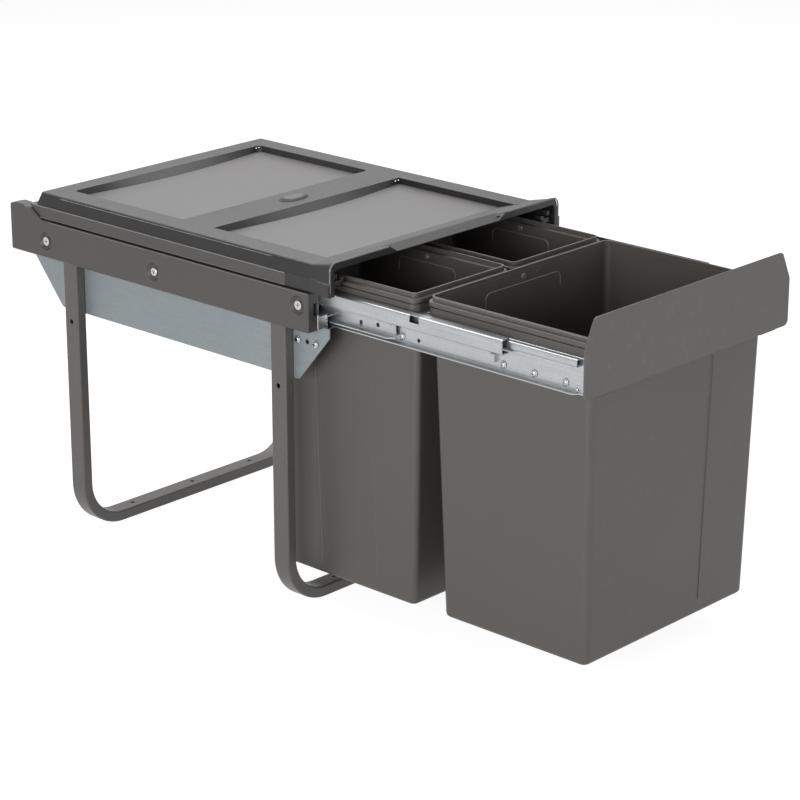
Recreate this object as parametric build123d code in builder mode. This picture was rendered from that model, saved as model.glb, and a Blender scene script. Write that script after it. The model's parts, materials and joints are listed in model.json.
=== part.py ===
from build123d import *
import os

os.makedirs("parts", exist_ok=True)

# Pull-out bin frame for a base cabinet, all lengths in millimetres.
# X runs across the cabinet, the drawer opens towards -Y, Z is up and the floor is z = 0.
# The origin is the middle screw hole in the floor bar of the front leg loop.
# Everything is placed where the object stands in the photograph, with the drawer part way out.

# Sizes shared by several pieces
overall_width = 342.0
sheet = 1.2
fit_gap = 0.3
seat_gap = 0.6
overrun = 5.0
sheet_bend = 2.0

# Leg loops
leg_depth = 21.0
leg_thickness = 12.0
leg_wall = 1.5
leg_corner = 2.0
leg_bend = 48.0
leg_top = 332.0
leg_spacing = 310.5
leg_hole_height = 238.8
leg_hole_radius = 2.6
bar_hole_spacing = 90.0
bar_hole_radius = 2.4

# Side covers
cover_wall = 2.2
cover_leg_gap = 2.3
cover_depth = 14.0
cover_front_reach = 46.5
cover_length = 445.5
cover_bottom = 303.5
cover_height = 40.0
cover_rear_rise = 12.6
cover_hump_length = 24.0
cover_dip_depth = 2.4
cover_dip_length = 9.0
cover_slope_length = 17.0
cover_slope_rise = 11.0
cover_bevel = 1.4
cover_corner = 1.5
cover_slot_height = 12.6
cover_slot_low = 16.0
cover_slot_depth = 6.0
leg_slot_gap = 1.0

# Screws that hold the covers to the side plates
screw_height = 18.2
front_screw_height = 26.1
front_screw_reach = 32.6
middle_screw_place = 174.5
rear_screw_place = 342.0
screw_head_radius = 4.6
screw_head_height = 2.4
screw_shank_radius = 1.9
screw_hole_gap = 0.2
screw_cross = 4.2
screw_cross_width = 0.9
screw_cross_depth = 1.2
dimple_radius = 10.5
dimple_floor_radius = 7.6
dimple_depth = 3.0
boss_radius = 5.5

# Side plates
plate_bottom = 247.0
plate_top = 341.0
plate_front_reach = 59.7
plate_tab_low = 297.5
plate_tab_high = 307.0
plate_shoulder_reach = 44.0
plate_front_foot = 17.6
plate_rear_foot = 337.5
plate_rear_slant = 384.5
plate_rear_slant_top = 303.0
plate_corner = 6.0
plate_small_corner = 1.5
plate_rivet_radius = 2.1
plate_rivet_head_radius = 3.4
plate_rivet_head = 1.5
plate_rivet_height = 288.0
plate_rivet_near = 16.5
plate_rivet_far = 40.7
plate_hole_reach = 29.2
plate_hole_radius = 2.5
leg_rivet_low = 310.5
leg_rivet_high = 325.0

# Fixed rails
rail_bottom = 305.3
rail_height = 14.4
rail_front_reach = 55.0
rail_rear = 385.0
rail_top_flange = 9.1
rail_bottom_flange = 13.3

# Middle rails: an upper channel that wraps the drawer rail and a lower carrier in the fixed rail
channel_gap = 0.6
channel_bottom = 328.7
channel_height = 14.7
channel_flange = 10.2
channel_front_reach = 278.0
channel_length = 440.0
notch_reach = 163.0
notch_length = 12.0
notch_depth = 7.0
carrier_front_reach = 137.0
carrier_bottom = 312.3
carrier_flange = 7.7
carrier_top_flange = 8.4
carrier_corner_cut = 6.0
carrier_hole_reach = 114.0
carrier_hole_height = 321.0
carrier_hole_radius = 2.2
carrier_window_reach = 91.8
carrier_window_length = 4.0
carrier_window_height = 6.4
carrier_window_low = 1.2
guard_front_reach = 286.0
guard_height = 10.5
guard_rear = 150.0

# Ball cages
lower_cage_front = -8.0
lower_cage_length = 116.0
lower_cage_sheet = 0.6
lower_cage_gap = 0.6
lower_ball_count = 8
upper_row_ball = 4.8
lower_row_ball = 5.6
ball_gap = 0.1
ball_pocket_gap = 0.2
upper_cage_front = -205.0
upper_cage_length = 200.0
upper_cage_sheet = 0.6
upper_cage_width = 8.0
upper_cage_offset = 1.2
upper_ball = 3.6
upper_ball_count = 12

# Drawer rails
drawer_rail_front_reach = 375.5
drawer_rail_length = 440.5
drawer_rail_bottom = 307.3
drawer_rail_top_gap = 0.8
drawer_web_gap = 2.7
drawer_rail_flange = 7.4
ledge_height = 7.7
ledge_width = 6.9
ledge_return = 4.3
ledge_front_setback = 15.0
flange_corner_cut = 5.0
drawer_rivet_radius = 2.0
drawer_rivet_head_radius = 3.3
drawer_rivet_head = 1.9
drawer_rivet_setback = 106.5
drawer_rivet_pitch = 37.2
drawer_rivet_height = 315.0
drawer_rivet_count = 3
stop_pin_reach = 142.0
rail_hole_reach = 163.5
rail_hole_radius = 2.0
hook_setback = 114.5
hook_length = 6.0
hook_bottom = 316.0
hook_height = 8.0
hook_width = 3.6

# Bin ledges, cross bars and brackets inside the drawer
bin_ledge_leg = 13.0
bin_ledge_width = 6.1
bar_height = 13.2
bar_flange = 8.0
bracket_width = 26.0
bracket_sheet = 1.5

# Front panel
panel_side_inset = 15.2
panel_bottom = 308.4
panel_top = 384.2
panel_rail_gap = 3.0
panel_thickness = 1.6
panel_shoulder_height = 28.0
panel_shoulder_inset = 13.0
panel_corner = 6.0
panel_edge = 0.4

# Bins
bin_wall = 1.5
bin_lip_wall = 1.8
bin_bead_wall = 1.4
bin_floor = 1.8
bin_bottom = 32.3
bin_top = 359.4
bin_lip_height = 4.4
bin_bead_height = 4.2
bin_bead_reach = 3.6
bin_bead_round = 1.8
bin_groove_height = 2.0
bin_groove_reach = 0.4
bin_ridge_reach = 2.4
bin_corner = 7.0
bin_base_corner = 8.0
bin_base_round = 4.5
bin_body_step = 1.6
front_bin_side_gap = 6.2
front_bin_setback = 7.5
front_bin_rear_reach = 170.3
front_bin_side_draft = 8.0
front_bin_front_draft = 7.0
front_bin_rear_draft = 11.7
rear_bin_side_gap = 0.6
rear_bin_inner = 5.4
rear_bin_front_reach = 157.0
rear_bin_rear = 40.0
rear_bin_side_step = 6.0
rear_bin_draft = 11.5

# Lid rails
lid_rail_inset = 3.0
lid_rail_wall = 2.2
lid_rail_bottom = 345.5
lid_rail_top = 358.0
lid_rail_front_reach = 13.3
lid_rail_leg_bottom = 334.5
lid_rail_cut_gap = 1.6

# Lid
lid_top = 371.8
lid_wall = 2.4
lid_side_inset = 4.5
lid_draft = 4.4
lid_step_rise = 1.4
lid_rear = 361.5
lid_corner = 4.0
lid_edge_round = 3.6
lid_flare_reach = 46.0
lid_collar_step = 0.4
lid_lip_reach = 76.0
lid_lip_foot_proud = 1.0
lid_lip_inset = 1.0
lid_lip_top = 379.4
lid_lip_corner = 8.0
lid_lip_drop = 7.2
lid_lip_thickness = 2.6
lid_mouth_inset = 7.0
recess_side_inset = 34.5
recess_depth = 6.4
recess_draft = 1.6
recess_corner = 5.0
recess_bow = 13.0
recess_bow_top = 0.5
recess_ramp_reach = 24.0
front_recess_front_reach = 64.0
scoop_half_width = 75.0
scoop_end = 11.0
scoop_edge = 0.6
scoop_corner = 3.0
front_recess_rear = 119.0
rear_recess_front = 165.0
rear_recess_rear = 332.5
badge_length = 36.0
badge_width = 19.0
badge_height = 2.2
badge_step = 2.2
upright_share = 0.9

# Places worked out from the sizes above
cover_outer = overall_width / 2
leg_outer = cover_outer - cover_wall - cover_leg_gap
leg_centre = leg_outer - leg_thickness / 2
plate_outer = leg_outer - leg_thickness
plate_inner = plate_outer - sheet
channel_outer = plate_inner - channel_gap
channel_top = channel_bottom + channel_height
carrier_web = channel_outer - channel_flange
carrier_top = channel_bottom
drawer_web_outer = carrier_web - drawer_web_gap
drawer_web_inner = drawer_web_outer - sheet
drawer_top = channel_top - sheet - drawer_rail_top_gap
drawer_rivet_reach = drawer_rail_front_reach - drawer_rivet_setback
ledge_outer = drawer_web_inner + ledge_width
ledge_bottom = drawer_top - ledge_height
panel_half_width = cover_outer - panel_side_inset
panel_front_reach = drawer_rail_front_reach + panel_rail_gap
panel_inner_reach = panel_front_reach - panel_thickness
front_bin_half_width = drawer_web_inner - front_bin_side_gap
front_bin_front_reach = drawer_rail_front_reach - front_bin_setback
rear_bin_outer = drawer_web_inner - rear_bin_side_gap
cover_top = cover_bottom + cover_height
cover_rear = cover_length - cover_front_reach
cover_inner = cover_outer - cover_depth
lid_half_width = cover_outer - lid_side_inset
lid_lip_foot_half_width = cover_outer + lid_lip_foot_proud
lid_lip_half_width = cover_outer - lid_lip_inset
lid_mouth_half_width = cover_outer - lid_mouth_inset
recess_half_width = cover_outer - recess_side_inset
rail_top = rail_bottom + rail_height
front_screw = (-front_screw_reach, cover_bottom + front_screw_height)
middle_screw = (middle_screw_place, cover_bottom + screw_height)
rear_screw = (rear_screw_place, cover_bottom + screw_height)
cover_screws = (front_screw, middle_screw, rear_screw)


def save(piece, name):
    piece.label = name
    export_step(piece, f"parts/{name}.step")


def save_pair(left, name):
    """Writes the left piece and its mirror image on the right."""
    save(left, "left_" + name)
    with BuildPart() as right:
        mirror(left, about=Plane.YZ)
    save(right.part, "right_" + name)


def folded_profile(plane, points, side, thickness=sheet):
    """Draws the section of a folded sheet along its outer corner points."""
    with BuildSketch(plane) as profile:
        with BuildLine():
            FilletPolyline(*points, radius=sheet_bend)
            offset(amount=thickness, side=side)
        make_face()
    return profile.sketch


# Leg loops: one rectangular steel tube each, bent down, across the floor and up again
def leg_loop(centre_y):
    with BuildPart() as loop:
        with BuildLine(Plane.XZ.offset(-centre_y)) as route:
            FilletPolyline(
                (-leg_centre, leg_top),
                (-leg_centre, leg_thickness / 2),
                (leg_centre, leg_thickness / 2),
                (leg_centre, leg_top),
                radius=leg_bend,
            )
        with BuildSketch(Plane(origin=route.line @ 0, x_dir=(1, 0, 0), z_dir=(0, 0, -1))):
            RectangleRounded(leg_thickness, leg_depth, leg_corner)
            RectangleRounded(
                leg_thickness - 2 * leg_wall,
                leg_depth - 2 * leg_wall,
                leg_corner - leg_wall,
                mode=Mode.SUBTRACT,
            )
        sweep()
        # Three floor screw holes down through the bar, and one hole across each leg
        with Locations(*[(step * bar_hole_spacing, centre_y, leg_thickness / 2) for step in (-1, 0, 1)]):
            Cylinder(bar_hole_radius, leg_thickness + overrun, mode=Mode.SUBTRACT)
        with Locations(*[(side * leg_centre, centre_y, leg_hole_height) for side in (-1, 1)]):
            Cylinder(leg_hole_radius, leg_thickness + overrun, rotation=(0, 90, 0), mode=Mode.SUBTRACT)
        # Rivet holes near the top, where the side plates are fastened
        with Locations(*[(side * leg_centre, centre_y, z) for side in (-1, 1)
                         for z in (leg_rivet_low, leg_rivet_high)]):
            Cylinder(
                plate_rivet_radius, leg_thickness + overrun, rotation=(0, 90, 0), mode=Mode.SUBTRACT
            )
    return loop.part


front_leg_loop = leg_loop(0)
rear_leg_loop = leg_loop(leg_spacing)
save(front_leg_loop, "front_leg_loop")
save(rear_leg_loop, "rear_leg_loop")


# Side plates: galvanised sheet between each pair of legs and the rails
with BuildPart() as side_plate:
    with BuildSketch(Plane.YZ.offset(-plate_outer)) as plate_outline:
        with BuildLine():
            Polyline(
                (-plate_front_reach, plate_tab_low),
                (-plate_front_foot, plate_bottom),
                (plate_rear_foot, plate_bottom),
                (plate_rear_slant, plate_rear_slant_top),
                (plate_rear_slant, plate_top),
                (-plate_shoulder_reach, plate_top),
                (-plate_shoulder_reach, plate_tab_high),
                (-plate_front_reach, plate_tab_high),
                close=True,
            )
        make_face()
        fillet(plate_outline.vertices().group_by(Axis.Y)[0], plate_corner)
        fillet(plate_outline.vertices().group_by(Axis.Y)[-1], plate_small_corner)
        rivet_places = [
            (y, z)
            for y in (0, leg_spacing)
            for z in (leg_rivet_low, leg_rivet_high)
        ] + [
            (-plate_rivet_near, plate_rivet_height),
            (-plate_rivet_far, plate_rivet_height),
        ]
        with Locations(*rivet_places):
            Circle(plate_rivet_radius, mode=Mode.SUBTRACT)
        with Locations((-plate_hole_reach, plate_rivet_height)):
            Circle(plate_hole_radius, mode=Mode.SUBTRACT)
        with Locations(*cover_screws):
            Circle(screw_shank_radius + screw_hole_gap, mode=Mode.SUBTRACT)
    extrude(amount=sheet)
save_pair(side_plate.part, "side_plate")


# Fixed rails: channels open towards the middle, welded to the inside of the side plates
with BuildPart() as fixed_rail:
    fixed_rail_section = folded_profile(
        Plane.XZ.offset(rail_front_reach),
        [
            (rail_top_flange - plate_inner, rail_top),
            (-plate_inner, rail_top),
            (-plate_inner, rail_bottom),
            (rail_bottom_flange - plate_inner, rail_bottom),
        ],
        Side.LEFT,
    )
    extrude(fixed_rail_section, amount=-(rail_front_reach + rail_rear))
save_pair(fixed_rail.part, "fixed_rail")


# Middle rail, upper channel: wraps the ledge of the drawer rail from outside
with BuildPart() as middle_channel:
    channel_section = folded_profile(
        Plane.XZ.offset(channel_front_reach),
        [
            (-carrier_web, channel_top),
            (-channel_outer, channel_top),
            (-channel_outer, channel_bottom),
            (-carrier_web, channel_bottom),
        ],
        Side.LEFT,
    )
    extrude(channel_section, amount=-channel_length)
    # Window punched through the upper fold, where the ball cage is stopped
    with BuildSketch(Plane.YZ.offset(-channel_outer - overrun)):
        with Locations((-notch_reach, channel_top)):
            Rectangle(notch_length, notch_depth, align=(Align.MAX, Align.MAX))
    extrude(amount=overrun + 2 * sheet, mode=Mode.SUBTRACT)
save_pair(middle_channel.part, "middle_channel")


# Guard strip: an upright edge on the right middle channel only, seen above the far bin rims
with BuildPart() as channel_guard:
    with BuildSketch(Plane.YZ.offset(channel_outer - sheet_bend - sheet)):
        with Locations((-guard_front_reach, channel_top)):
            Rectangle(guard_front_reach + guard_rear, guard_height, align=(Align.MIN, Align.MIN))
    extrude(amount=sheet)
save(channel_guard.part, "right_channel_guard")


# Middle rail, lower carrier: a shorter channel, open outwards, that runs in the fixed rail
with BuildPart() as middle_carrier:
    carrier_section = folded_profile(
        Plane.XZ.offset(carrier_front_reach),
        [
            (-carrier_web - carrier_top_flange, carrier_top),
            (-carrier_web, carrier_top),
            (-carrier_web, carrier_bottom),
            (-carrier_web - carrier_flange, carrier_bottom),
        ],
        Side.RIGHT,
    )
    extrude(carrier_section, amount=-(channel_length - channel_front_reach + carrier_front_reach))
    # Front corner of the bottom flange cut off at a slant
    with BuildSketch(Plane.XY.offset(carrier_bottom - overrun)):
        with BuildLine():
            Polyline(
                (-carrier_web - carrier_flange, -carrier_front_reach),
                (-carrier_web - carrier_flange, -carrier_front_reach + carrier_corner_cut),
                (-carrier_web - carrier_flange + carrier_corner_cut, -carrier_front_reach),
                close=True,
            )
        make_face()
    extrude(amount=overrun + 2 * sheet, mode=Mode.SUBTRACT)
    # Small window punched low in the web, and a hole in front of it
    window_low = carrier_bottom + sheet + carrier_window_low
    with BuildSketch(Plane.YZ.offset(-carrier_web - overrun)):
        with Locations((-carrier_window_reach, window_low)):
            Rectangle(carrier_window_length, carrier_window_height, align=(Align.CENTER, Align.MIN))
    extrude(amount=2 * overrun, mode=Mode.SUBTRACT)
    with Locations((-carrier_web, -carrier_hole_reach, carrier_hole_height)):
        Cylinder(carrier_hole_radius, overrun, rotation=(0, 90, 0), mode=Mode.SUBTRACT)
save_pair(middle_carrier.part, "middle_carrier")


# Lower balls and cage: two rows above and below the carrier flange, inside the fixed rail
upper_row_height = rail_top - sheet - ball_gap - upper_row_ball / 2
lower_row_height = rail_bottom + sheet + ball_gap + lower_row_ball / 2
lower_ball_x = -(plate_inner - sheet) + 2 * ball_gap + lower_row_ball / 2
lower_pitch = lower_cage_length / lower_ball_count
lower_ball_places = [lower_cage_front + (2 * turn + 1) * lower_pitch / 2 for turn in range(lower_ball_count)]
with BuildPart() as lower_balls:
    with Locations(*[(lower_ball_x, y, upper_row_height) for y in lower_ball_places]):
        Sphere(upper_row_ball / 2)
    with Locations(*[(lower_ball_x, y, lower_row_height) for y in lower_ball_places]):
        Sphere(lower_row_ball / 2)
save_pair(lower_balls.part, "lower_balls")

with BuildPart() as lower_cage:
    with BuildSketch(Plane.YZ.offset(-(plate_inner - sheet - lower_cage_gap))):
        with Locations((lower_cage_front, rail_bottom + rail_height / 2)):
            Rectangle(
                lower_cage_length,
                rail_height - 2 * sheet - 2 * lower_cage_gap,
                align=(Align.MIN, Align.CENTER),
            )
    extrude(amount=lower_cage_sheet)
    with Locations(*[(lower_ball_x, y, upper_row_height) for y in lower_ball_places]):
        Sphere(upper_row_ball / 2 + ball_pocket_gap, mode=Mode.SUBTRACT)
    with Locations(*[(lower_ball_x, y, lower_row_height) for y in lower_ball_places]):
        Sphere(lower_row_ball / 2 + ball_pocket_gap, mode=Mode.SUBTRACT)
save_pair(lower_cage.part, "lower_cage")


# Upper balls and cage: one row between the channel floor and the ledge of the drawer rail
upper_ball_x = -(ledge_outer - ledge_return / 2)
upper_cage_x = upper_ball_x - upper_cage_offset
upper_ball_height = (channel_bottom + sheet + ledge_bottom) / 2
upper_pitch = upper_cage_length / upper_ball_count
upper_ball_places = [upper_cage_front + (2 * turn + 1) * upper_pitch / 2 for turn in range(upper_ball_count)]
with BuildPart() as upper_balls:
    with Locations(*[(upper_ball_x, y, upper_ball_height) for y in upper_ball_places]):
        Sphere(upper_ball / 2)
save_pair(upper_balls.part, "upper_balls")

with BuildPart() as upper_cage:
    with BuildSketch(Plane.XY.offset(upper_ball_height - upper_cage_sheet / 2)):
        with Locations((upper_cage_x, upper_cage_front)):
            Rectangle(upper_cage_width, upper_cage_length, align=(Align.CENTER, Align.MIN))
        with Locations(*[(upper_ball_x, y) for y in upper_ball_places]):
            Circle(upper_ball / 2 + ball_pocket_gap, mode=Mode.SUBTRACT)
    extrude(amount=upper_cage_sheet)
save_pair(upper_cage.part, "upper_cage")


# Drawer rails: web with an outward foot and a hollow ledge that rides in the middle channel
with BuildPart() as drawer_rail:
    drawer_rail_section = folded_profile(
        Plane.XZ.offset(drawer_rail_front_reach),
        [
            (-drawer_web_inner - drawer_rail_flange, drawer_rail_bottom),
            (-drawer_web_inner, drawer_rail_bottom),
            (-drawer_web_inner, drawer_top),
            (-ledge_outer, drawer_top),
            (-ledge_outer, ledge_bottom),
            (-ledge_outer + ledge_return, ledge_bottom),
        ],
        Side.LEFT,
    )
    extrude(drawer_rail_section, amount=-drawer_rail_length)
    # The ledge stops short of the panel, and the foot has its front corner cut off
    with BuildSketch(Plane.XZ.offset(drawer_rail_front_reach)):
        with Locations((-drawer_web_inner - sheet, ledge_bottom)):
            Rectangle(ledge_width, ledge_height, align=(Align.MAX, Align.MIN))
    extrude(amount=-ledge_front_setback, mode=Mode.SUBTRACT)
    with BuildSketch(Plane.XY.offset(drawer_rail_bottom - overrun)):
        with BuildLine():
            foot_edge = -drawer_web_inner - drawer_rail_flange
            Polyline(
                (foot_edge, -drawer_rail_front_reach),
                (foot_edge, -drawer_rail_front_reach + ledge_front_setback + flange_corner_cut),
                (foot_edge + flange_corner_cut, -drawer_rail_front_reach + ledge_front_setback),
                (foot_edge + flange_corner_cut, -drawer_rail_front_reach),
                close=True,
            )
        make_face()
    extrude(amount=overrun + 2 * sheet, mode=Mode.SUBTRACT)
    # Hook pressed out of the web below the channel, which keeps the rail from lifting
    with BuildSketch(Plane.YZ.offset(-drawer_web_outer)):
        with Locations((hook_setback - drawer_rail_front_reach, hook_bottom)):
            Rectangle(hook_length, hook_height, align=(Align.MIN, Align.MIN))
    extrude(amount=-hook_width)
    # Rivet holes for the front bracket, the stop pin hole and a spare hole
    rail_rivet_places = [
        (-drawer_rivet_reach - turn * drawer_rivet_pitch, drawer_rivet_height)
        for turn in range(drawer_rivet_count)
    ]
    hole_plane = Plane.YZ.offset(-drawer_web_outer - overrun)
    with BuildSketch(hole_plane):
        with Locations(*rail_rivet_places):
            Circle(drawer_rivet_radius)
        with Locations((-stop_pin_reach, drawer_rivet_height)):
            Circle(drawer_rivet_radius)
        with Locations((-rail_hole_reach, drawer_rivet_height)):
            Circle(rail_hole_radius)
    extrude(amount=2 * overrun, mode=Mode.SUBTRACT)
save_pair(drawer_rail.part, "drawer_rail")


# Bin ledges: angles inside the drawer rails that the bin rims hang on
bin_ledge_outer = drawer_web_inner
bin_ledge_inner = bin_ledge_outer - bin_ledge_width
with BuildPart() as bin_ledge:
    bin_ledge_section = folded_profile(
        Plane.XZ.offset(drawer_rail_front_reach),
        [
            (-bin_ledge_outer, drawer_top - bin_ledge_leg),
            (-bin_ledge_outer, drawer_top),
            (-bin_ledge_inner, drawer_top),
        ],
        Side.RIGHT,
    )
    extrude(bin_ledge_section, amount=-drawer_rail_length)
save_pair(bin_ledge.part, "bin_ledge")


# Front brackets: dark angles riveted to the drawer rails that carry the front panel
with BuildPart() as front_bracket:
    bracket_section = folded_profile(
        Plane.XY.offset(drawer_rail_bottom),
        [
            (-drawer_web_inner, -drawer_rivet_reach + 2 * drawer_rivet_head_radius),
            (-drawer_web_inner, -panel_inner_reach),
            (-drawer_web_inner + bracket_width, -panel_inner_reach),
        ],
        Side.LEFT,
        bracket_sheet,
    )
    extrude(bracket_section, amount=drawer_top - bin_ledge_leg - seat_gap - drawer_rail_bottom)
    with Locations(*[(-drawer_web_inner, y, z) for y, z in rail_rivet_places]):
        Cylinder(drawer_rivet_radius, overrun, rotation=(0, 90, 0), mode=Mode.SUBTRACT)
save_pair(front_bracket.part, "front_bracket")


# Cross bars: folded strips that tie the two drawer rails together below the bin rims
def cross_bar(front_y, flange_side):
    half_length = drawer_web_inner - sheet
    with BuildPart() as bar:
        bar_section = folded_profile(
            Plane.YZ.offset(-half_length),
            [
                (front_y, drawer_top - bar_height),
                (front_y, drawer_top),
                (front_y + flange_side * bar_flange, drawer_top),
            ],
            Side.RIGHT if flange_side > 0 else Side.LEFT,
        )
        extrude(bar_section, amount=2 * half_length)
        # Ends notched so that the bar passes under the bin ledges and meets the rail webs
        with Locations(*[(side * half_length, front_y, drawer_top) for side in (-1, 1)]):
            Box(
                2 * (bin_ledge_width + fit_gap),
                2 * (bar_flange + overrun),
                2 * (sheet_bend + fit_gap),
                mode=Mode.SUBTRACT,
            )
    return bar.part


middle_bar_place = -(rear_bin_front_reach + front_bin_rear_reach + bar_flange) / 2
rear_bar_place = drawer_rail_length - drawer_rail_front_reach - fit_gap
middle_cross_bar = cross_bar(middle_bar_place, 1)
rear_cross_bar = cross_bar(rear_bar_place, -1)
save(middle_cross_bar, "middle_cross_bar")
save(rear_cross_bar, "rear_cross_bar")


# Front panel: thin painted plate, taller than the bins, with slanted shoulders
with BuildPart() as front_panel:
    with BuildSketch(Plane.XZ.offset(panel_inner_reach)) as panel_outline:
        with BuildLine():
            Polyline(
                (-panel_half_width, panel_bottom),
                (panel_half_width, panel_bottom),
                (panel_half_width, panel_top - panel_shoulder_height),
                (panel_half_width - panel_shoulder_inset, panel_top),
                (-panel_half_width + panel_shoulder_inset, panel_top),
                (-panel_half_width, panel_top - panel_shoulder_height),
                close=True,
            )
        make_face()
        fillet(panel_outline.vertices(), panel_corner)
    extrude(amount=panel_thickness)
    chamfer(front_panel.faces().sort_by(Axis.Y)[0].edges(), panel_edge)
save(front_panel.part, "front_panel")


# Bins: drawn tubs with a thin upright lip above an outward bead that hangs on the ledges
def bin_tub(left, right, front, rear, side_step, side_draft, front_draft, rear_draft):
    bead_top = bin_top - bin_lip_height
    bead_bottom = drawer_top
    groove_bottom = bead_top - bin_bead_height - bin_groove_height
    centre = ((left + right) / 2, (front + rear) / 2)
    base_centre = (centre[0], centre[1] + (front_draft - rear_draft) / 2)
    wide, long = right - left, rear - front
    base_wide, base_long = wide - 2 * side_draft, long - front_draft - rear_draft

    def outline(height, spread, base=False):
        place = base_centre if base else centre
        size = (base_wide, base_long) if base else (wide - 2 * side_step, long - 2 * bin_body_step)
        corner = (bin_base_corner if base else bin_corner) + spread
        with BuildSketch(Plane.XY.offset(height)) as drawn:
            with Locations(place):
                RectangleRounded(size[0] + 2 * spread, size[1] + 2 * spread, corner)
        return drawn.sketch

    def rim(height, spread):
        with BuildSketch(Plane.XY.offset(height)) as drawn:
            with Locations(centre):
                RectangleRounded(wide + 2 * spread, long + 2 * spread, bin_corner + spread)
        return drawn.sketch

    # Hollow inside, tapered in the body and one step wider in the rim
    with BuildPart() as hollow:
        loft([
            outline(bin_bottom + bin_floor, -bin_wall, True),
            outline(bead_top - bin_wall, -bin_wall),
        ])
        fillet(hollow.edges().group_by(Axis.Z)[0], bin_base_round - bin_wall)
        extrude(hollow.faces().sort_by(Axis.Z)[-1], amount=bin_lip_height)
        extrude(rim(bead_top, -bin_lip_wall), amount=bin_lip_height + overrun)

    with BuildPart() as tub:
        loft([outline(bin_bottom, 0, True), outline(bead_bottom, 0)])
        fillet(tub.edges().group_by(Axis.Z)[0], bin_base_round)
        # Rim: a ridge that hangs on the ledges, a groove, a bead and a thin lip
        extrude(rim(bead_bottom, bin_ridge_reach), amount=groove_bottom - bead_bottom)
        extrude(rim(groove_bottom, bin_groove_reach), amount=bin_groove_height)
        extrude(rim(bead_top - bin_bead_height, bin_bead_reach), amount=bin_bead_height)
        fillet(tub.edges().group_by(Axis.Z)[-1], bin_bead_round)
        extrude(rim(bead_top, 0), amount=bin_lip_height)
        # The rim is rolled, and open underneath where it stands off the body of the tub
        if side_step > bin_body_step:
            extrude(
                rim(bead_bottom, -bin_bead_wall) - outline(bead_bottom, 0),
                amount=bead_top - bead_bottom - bin_wall,
                mode=Mode.SUBTRACT,
            )
        add(hollow.part, mode=Mode.SUBTRACT)
    return tub.part


front_bin = bin_tub(
    -front_bin_half_width,
    front_bin_half_width,
    -front_bin_front_reach,
    -front_bin_rear_reach,
    bin_body_step,
    front_bin_side_draft,
    front_bin_front_draft,
    front_bin_rear_draft,
)
rear_left_bin = bin_tub(
    -rear_bin_outer,
    -rear_bin_inner,
    -rear_bin_front_reach,
    rear_bin_rear,
    rear_bin_side_step,
    rear_bin_draft,
    rear_bin_draft,
    rear_bin_draft,
)
with BuildPart() as rear_right_bin:
    mirror(rear_left_bin, about=Plane.YZ)
save(front_bin, "front_bin")
save(rear_left_bin, "left_rear_bin")
save(rear_right_bin.part, "right_rear_bin")


# Side covers: moulded shells, open towards the side plates
cover_outline = [
    (-cover_front_reach, cover_bottom),
    (cover_rear, cover_bottom),
    (cover_rear, cover_top + cover_rear_rise - cover_dip_depth),
    (cover_rear - cover_dip_length, cover_top + cover_rear_rise),
    (cover_rear - cover_hump_length + cover_dip_length / 2, cover_top + cover_rear_rise),
    (cover_rear - cover_hump_length, cover_top + cover_rear_rise - cover_dip_depth),
    (cover_rear - cover_hump_length - cover_dip_length, cover_top + cover_slope_rise),
    (cover_rear - cover_hump_length - cover_dip_length - cover_slope_length, cover_top),
    (-cover_front_reach, cover_top),
]
with BuildPart() as side_cover:
    with BuildSketch(Plane.YZ.offset(-cover_outer)):
        with BuildLine():
            Polyline(*cover_outline, close=True)
        cover_face = make_face()
        fillet(cover_face.vertices(), cover_corner)
    extrude(amount=cover_depth)
    chamfer(side_cover.faces().sort_by(Axis.X)[0].edges(), cover_bevel)
    with BuildSketch(Plane.YZ.offset(-cover_outer + cover_wall)):
        with BuildLine():
            Polyline(*cover_outline, close=True)
        make_face()
        offset(amount=-cover_wall, kind=Kind.INTERSECTION)
    extrude(amount=cover_depth, mode=Mode.SUBTRACT)
    # Bosses that reach the side plate, each behind a dished screw seat
    with BuildSketch(Plane.YZ.offset(-cover_outer + cover_wall)):
        with Locations(*cover_screws):
            Circle(dimple_radius + cover_wall)
    extrude(amount=dimple_depth)
    with BuildSketch(Plane.YZ.offset(-cover_outer + cover_wall)):
        with Locations(*cover_screws):
            Circle(boss_radius)
    extrude(amount=cover_outer - cover_wall - plate_outer)
    with Locations(*[(dimple_depth / 2 - cover_outer, y, z) for y, z in cover_screws]):
        Cone(
            dimple_radius, dimple_floor_radius, dimple_depth, rotation=(0, 90, 0), mode=Mode.SUBTRACT
        )
    with BuildSketch(Plane.YZ.offset(-cover_outer)):
        with Locations(*cover_screws):
            Circle(screw_shank_radius + screw_hole_gap)
    extrude(amount=cover_outer, mode=Mode.SUBTRACT)
    # Slots in the bottom wall for the two legs, and the open slot in the front end
    with BuildSketch(Plane.XY.offset(cover_bottom - overrun)):
        with Locations((-cover_inner, 0), (-cover_inner, leg_spacing)):
            Rectangle(
                leg_outer - cover_inner + leg_slot_gap,
                leg_depth + 2 * leg_slot_gap,
                align=(Align.MAX, Align.CENTER),
            )
    extrude(amount=overrun + 2 * cover_wall, mode=Mode.SUBTRACT)
    with BuildSketch(Plane.XZ.offset(cover_front_reach + overrun)):
        with Locations((-cover_inner, cover_bottom + cover_slot_low)):
            Rectangle(cover_slot_depth, cover_slot_height, align=(Align.MAX, Align.MIN))
    extrude(amount=-(overrun + 2 * cover_wall), mode=Mode.SUBTRACT)
save_pair(side_cover.part, "side_cover")


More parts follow.
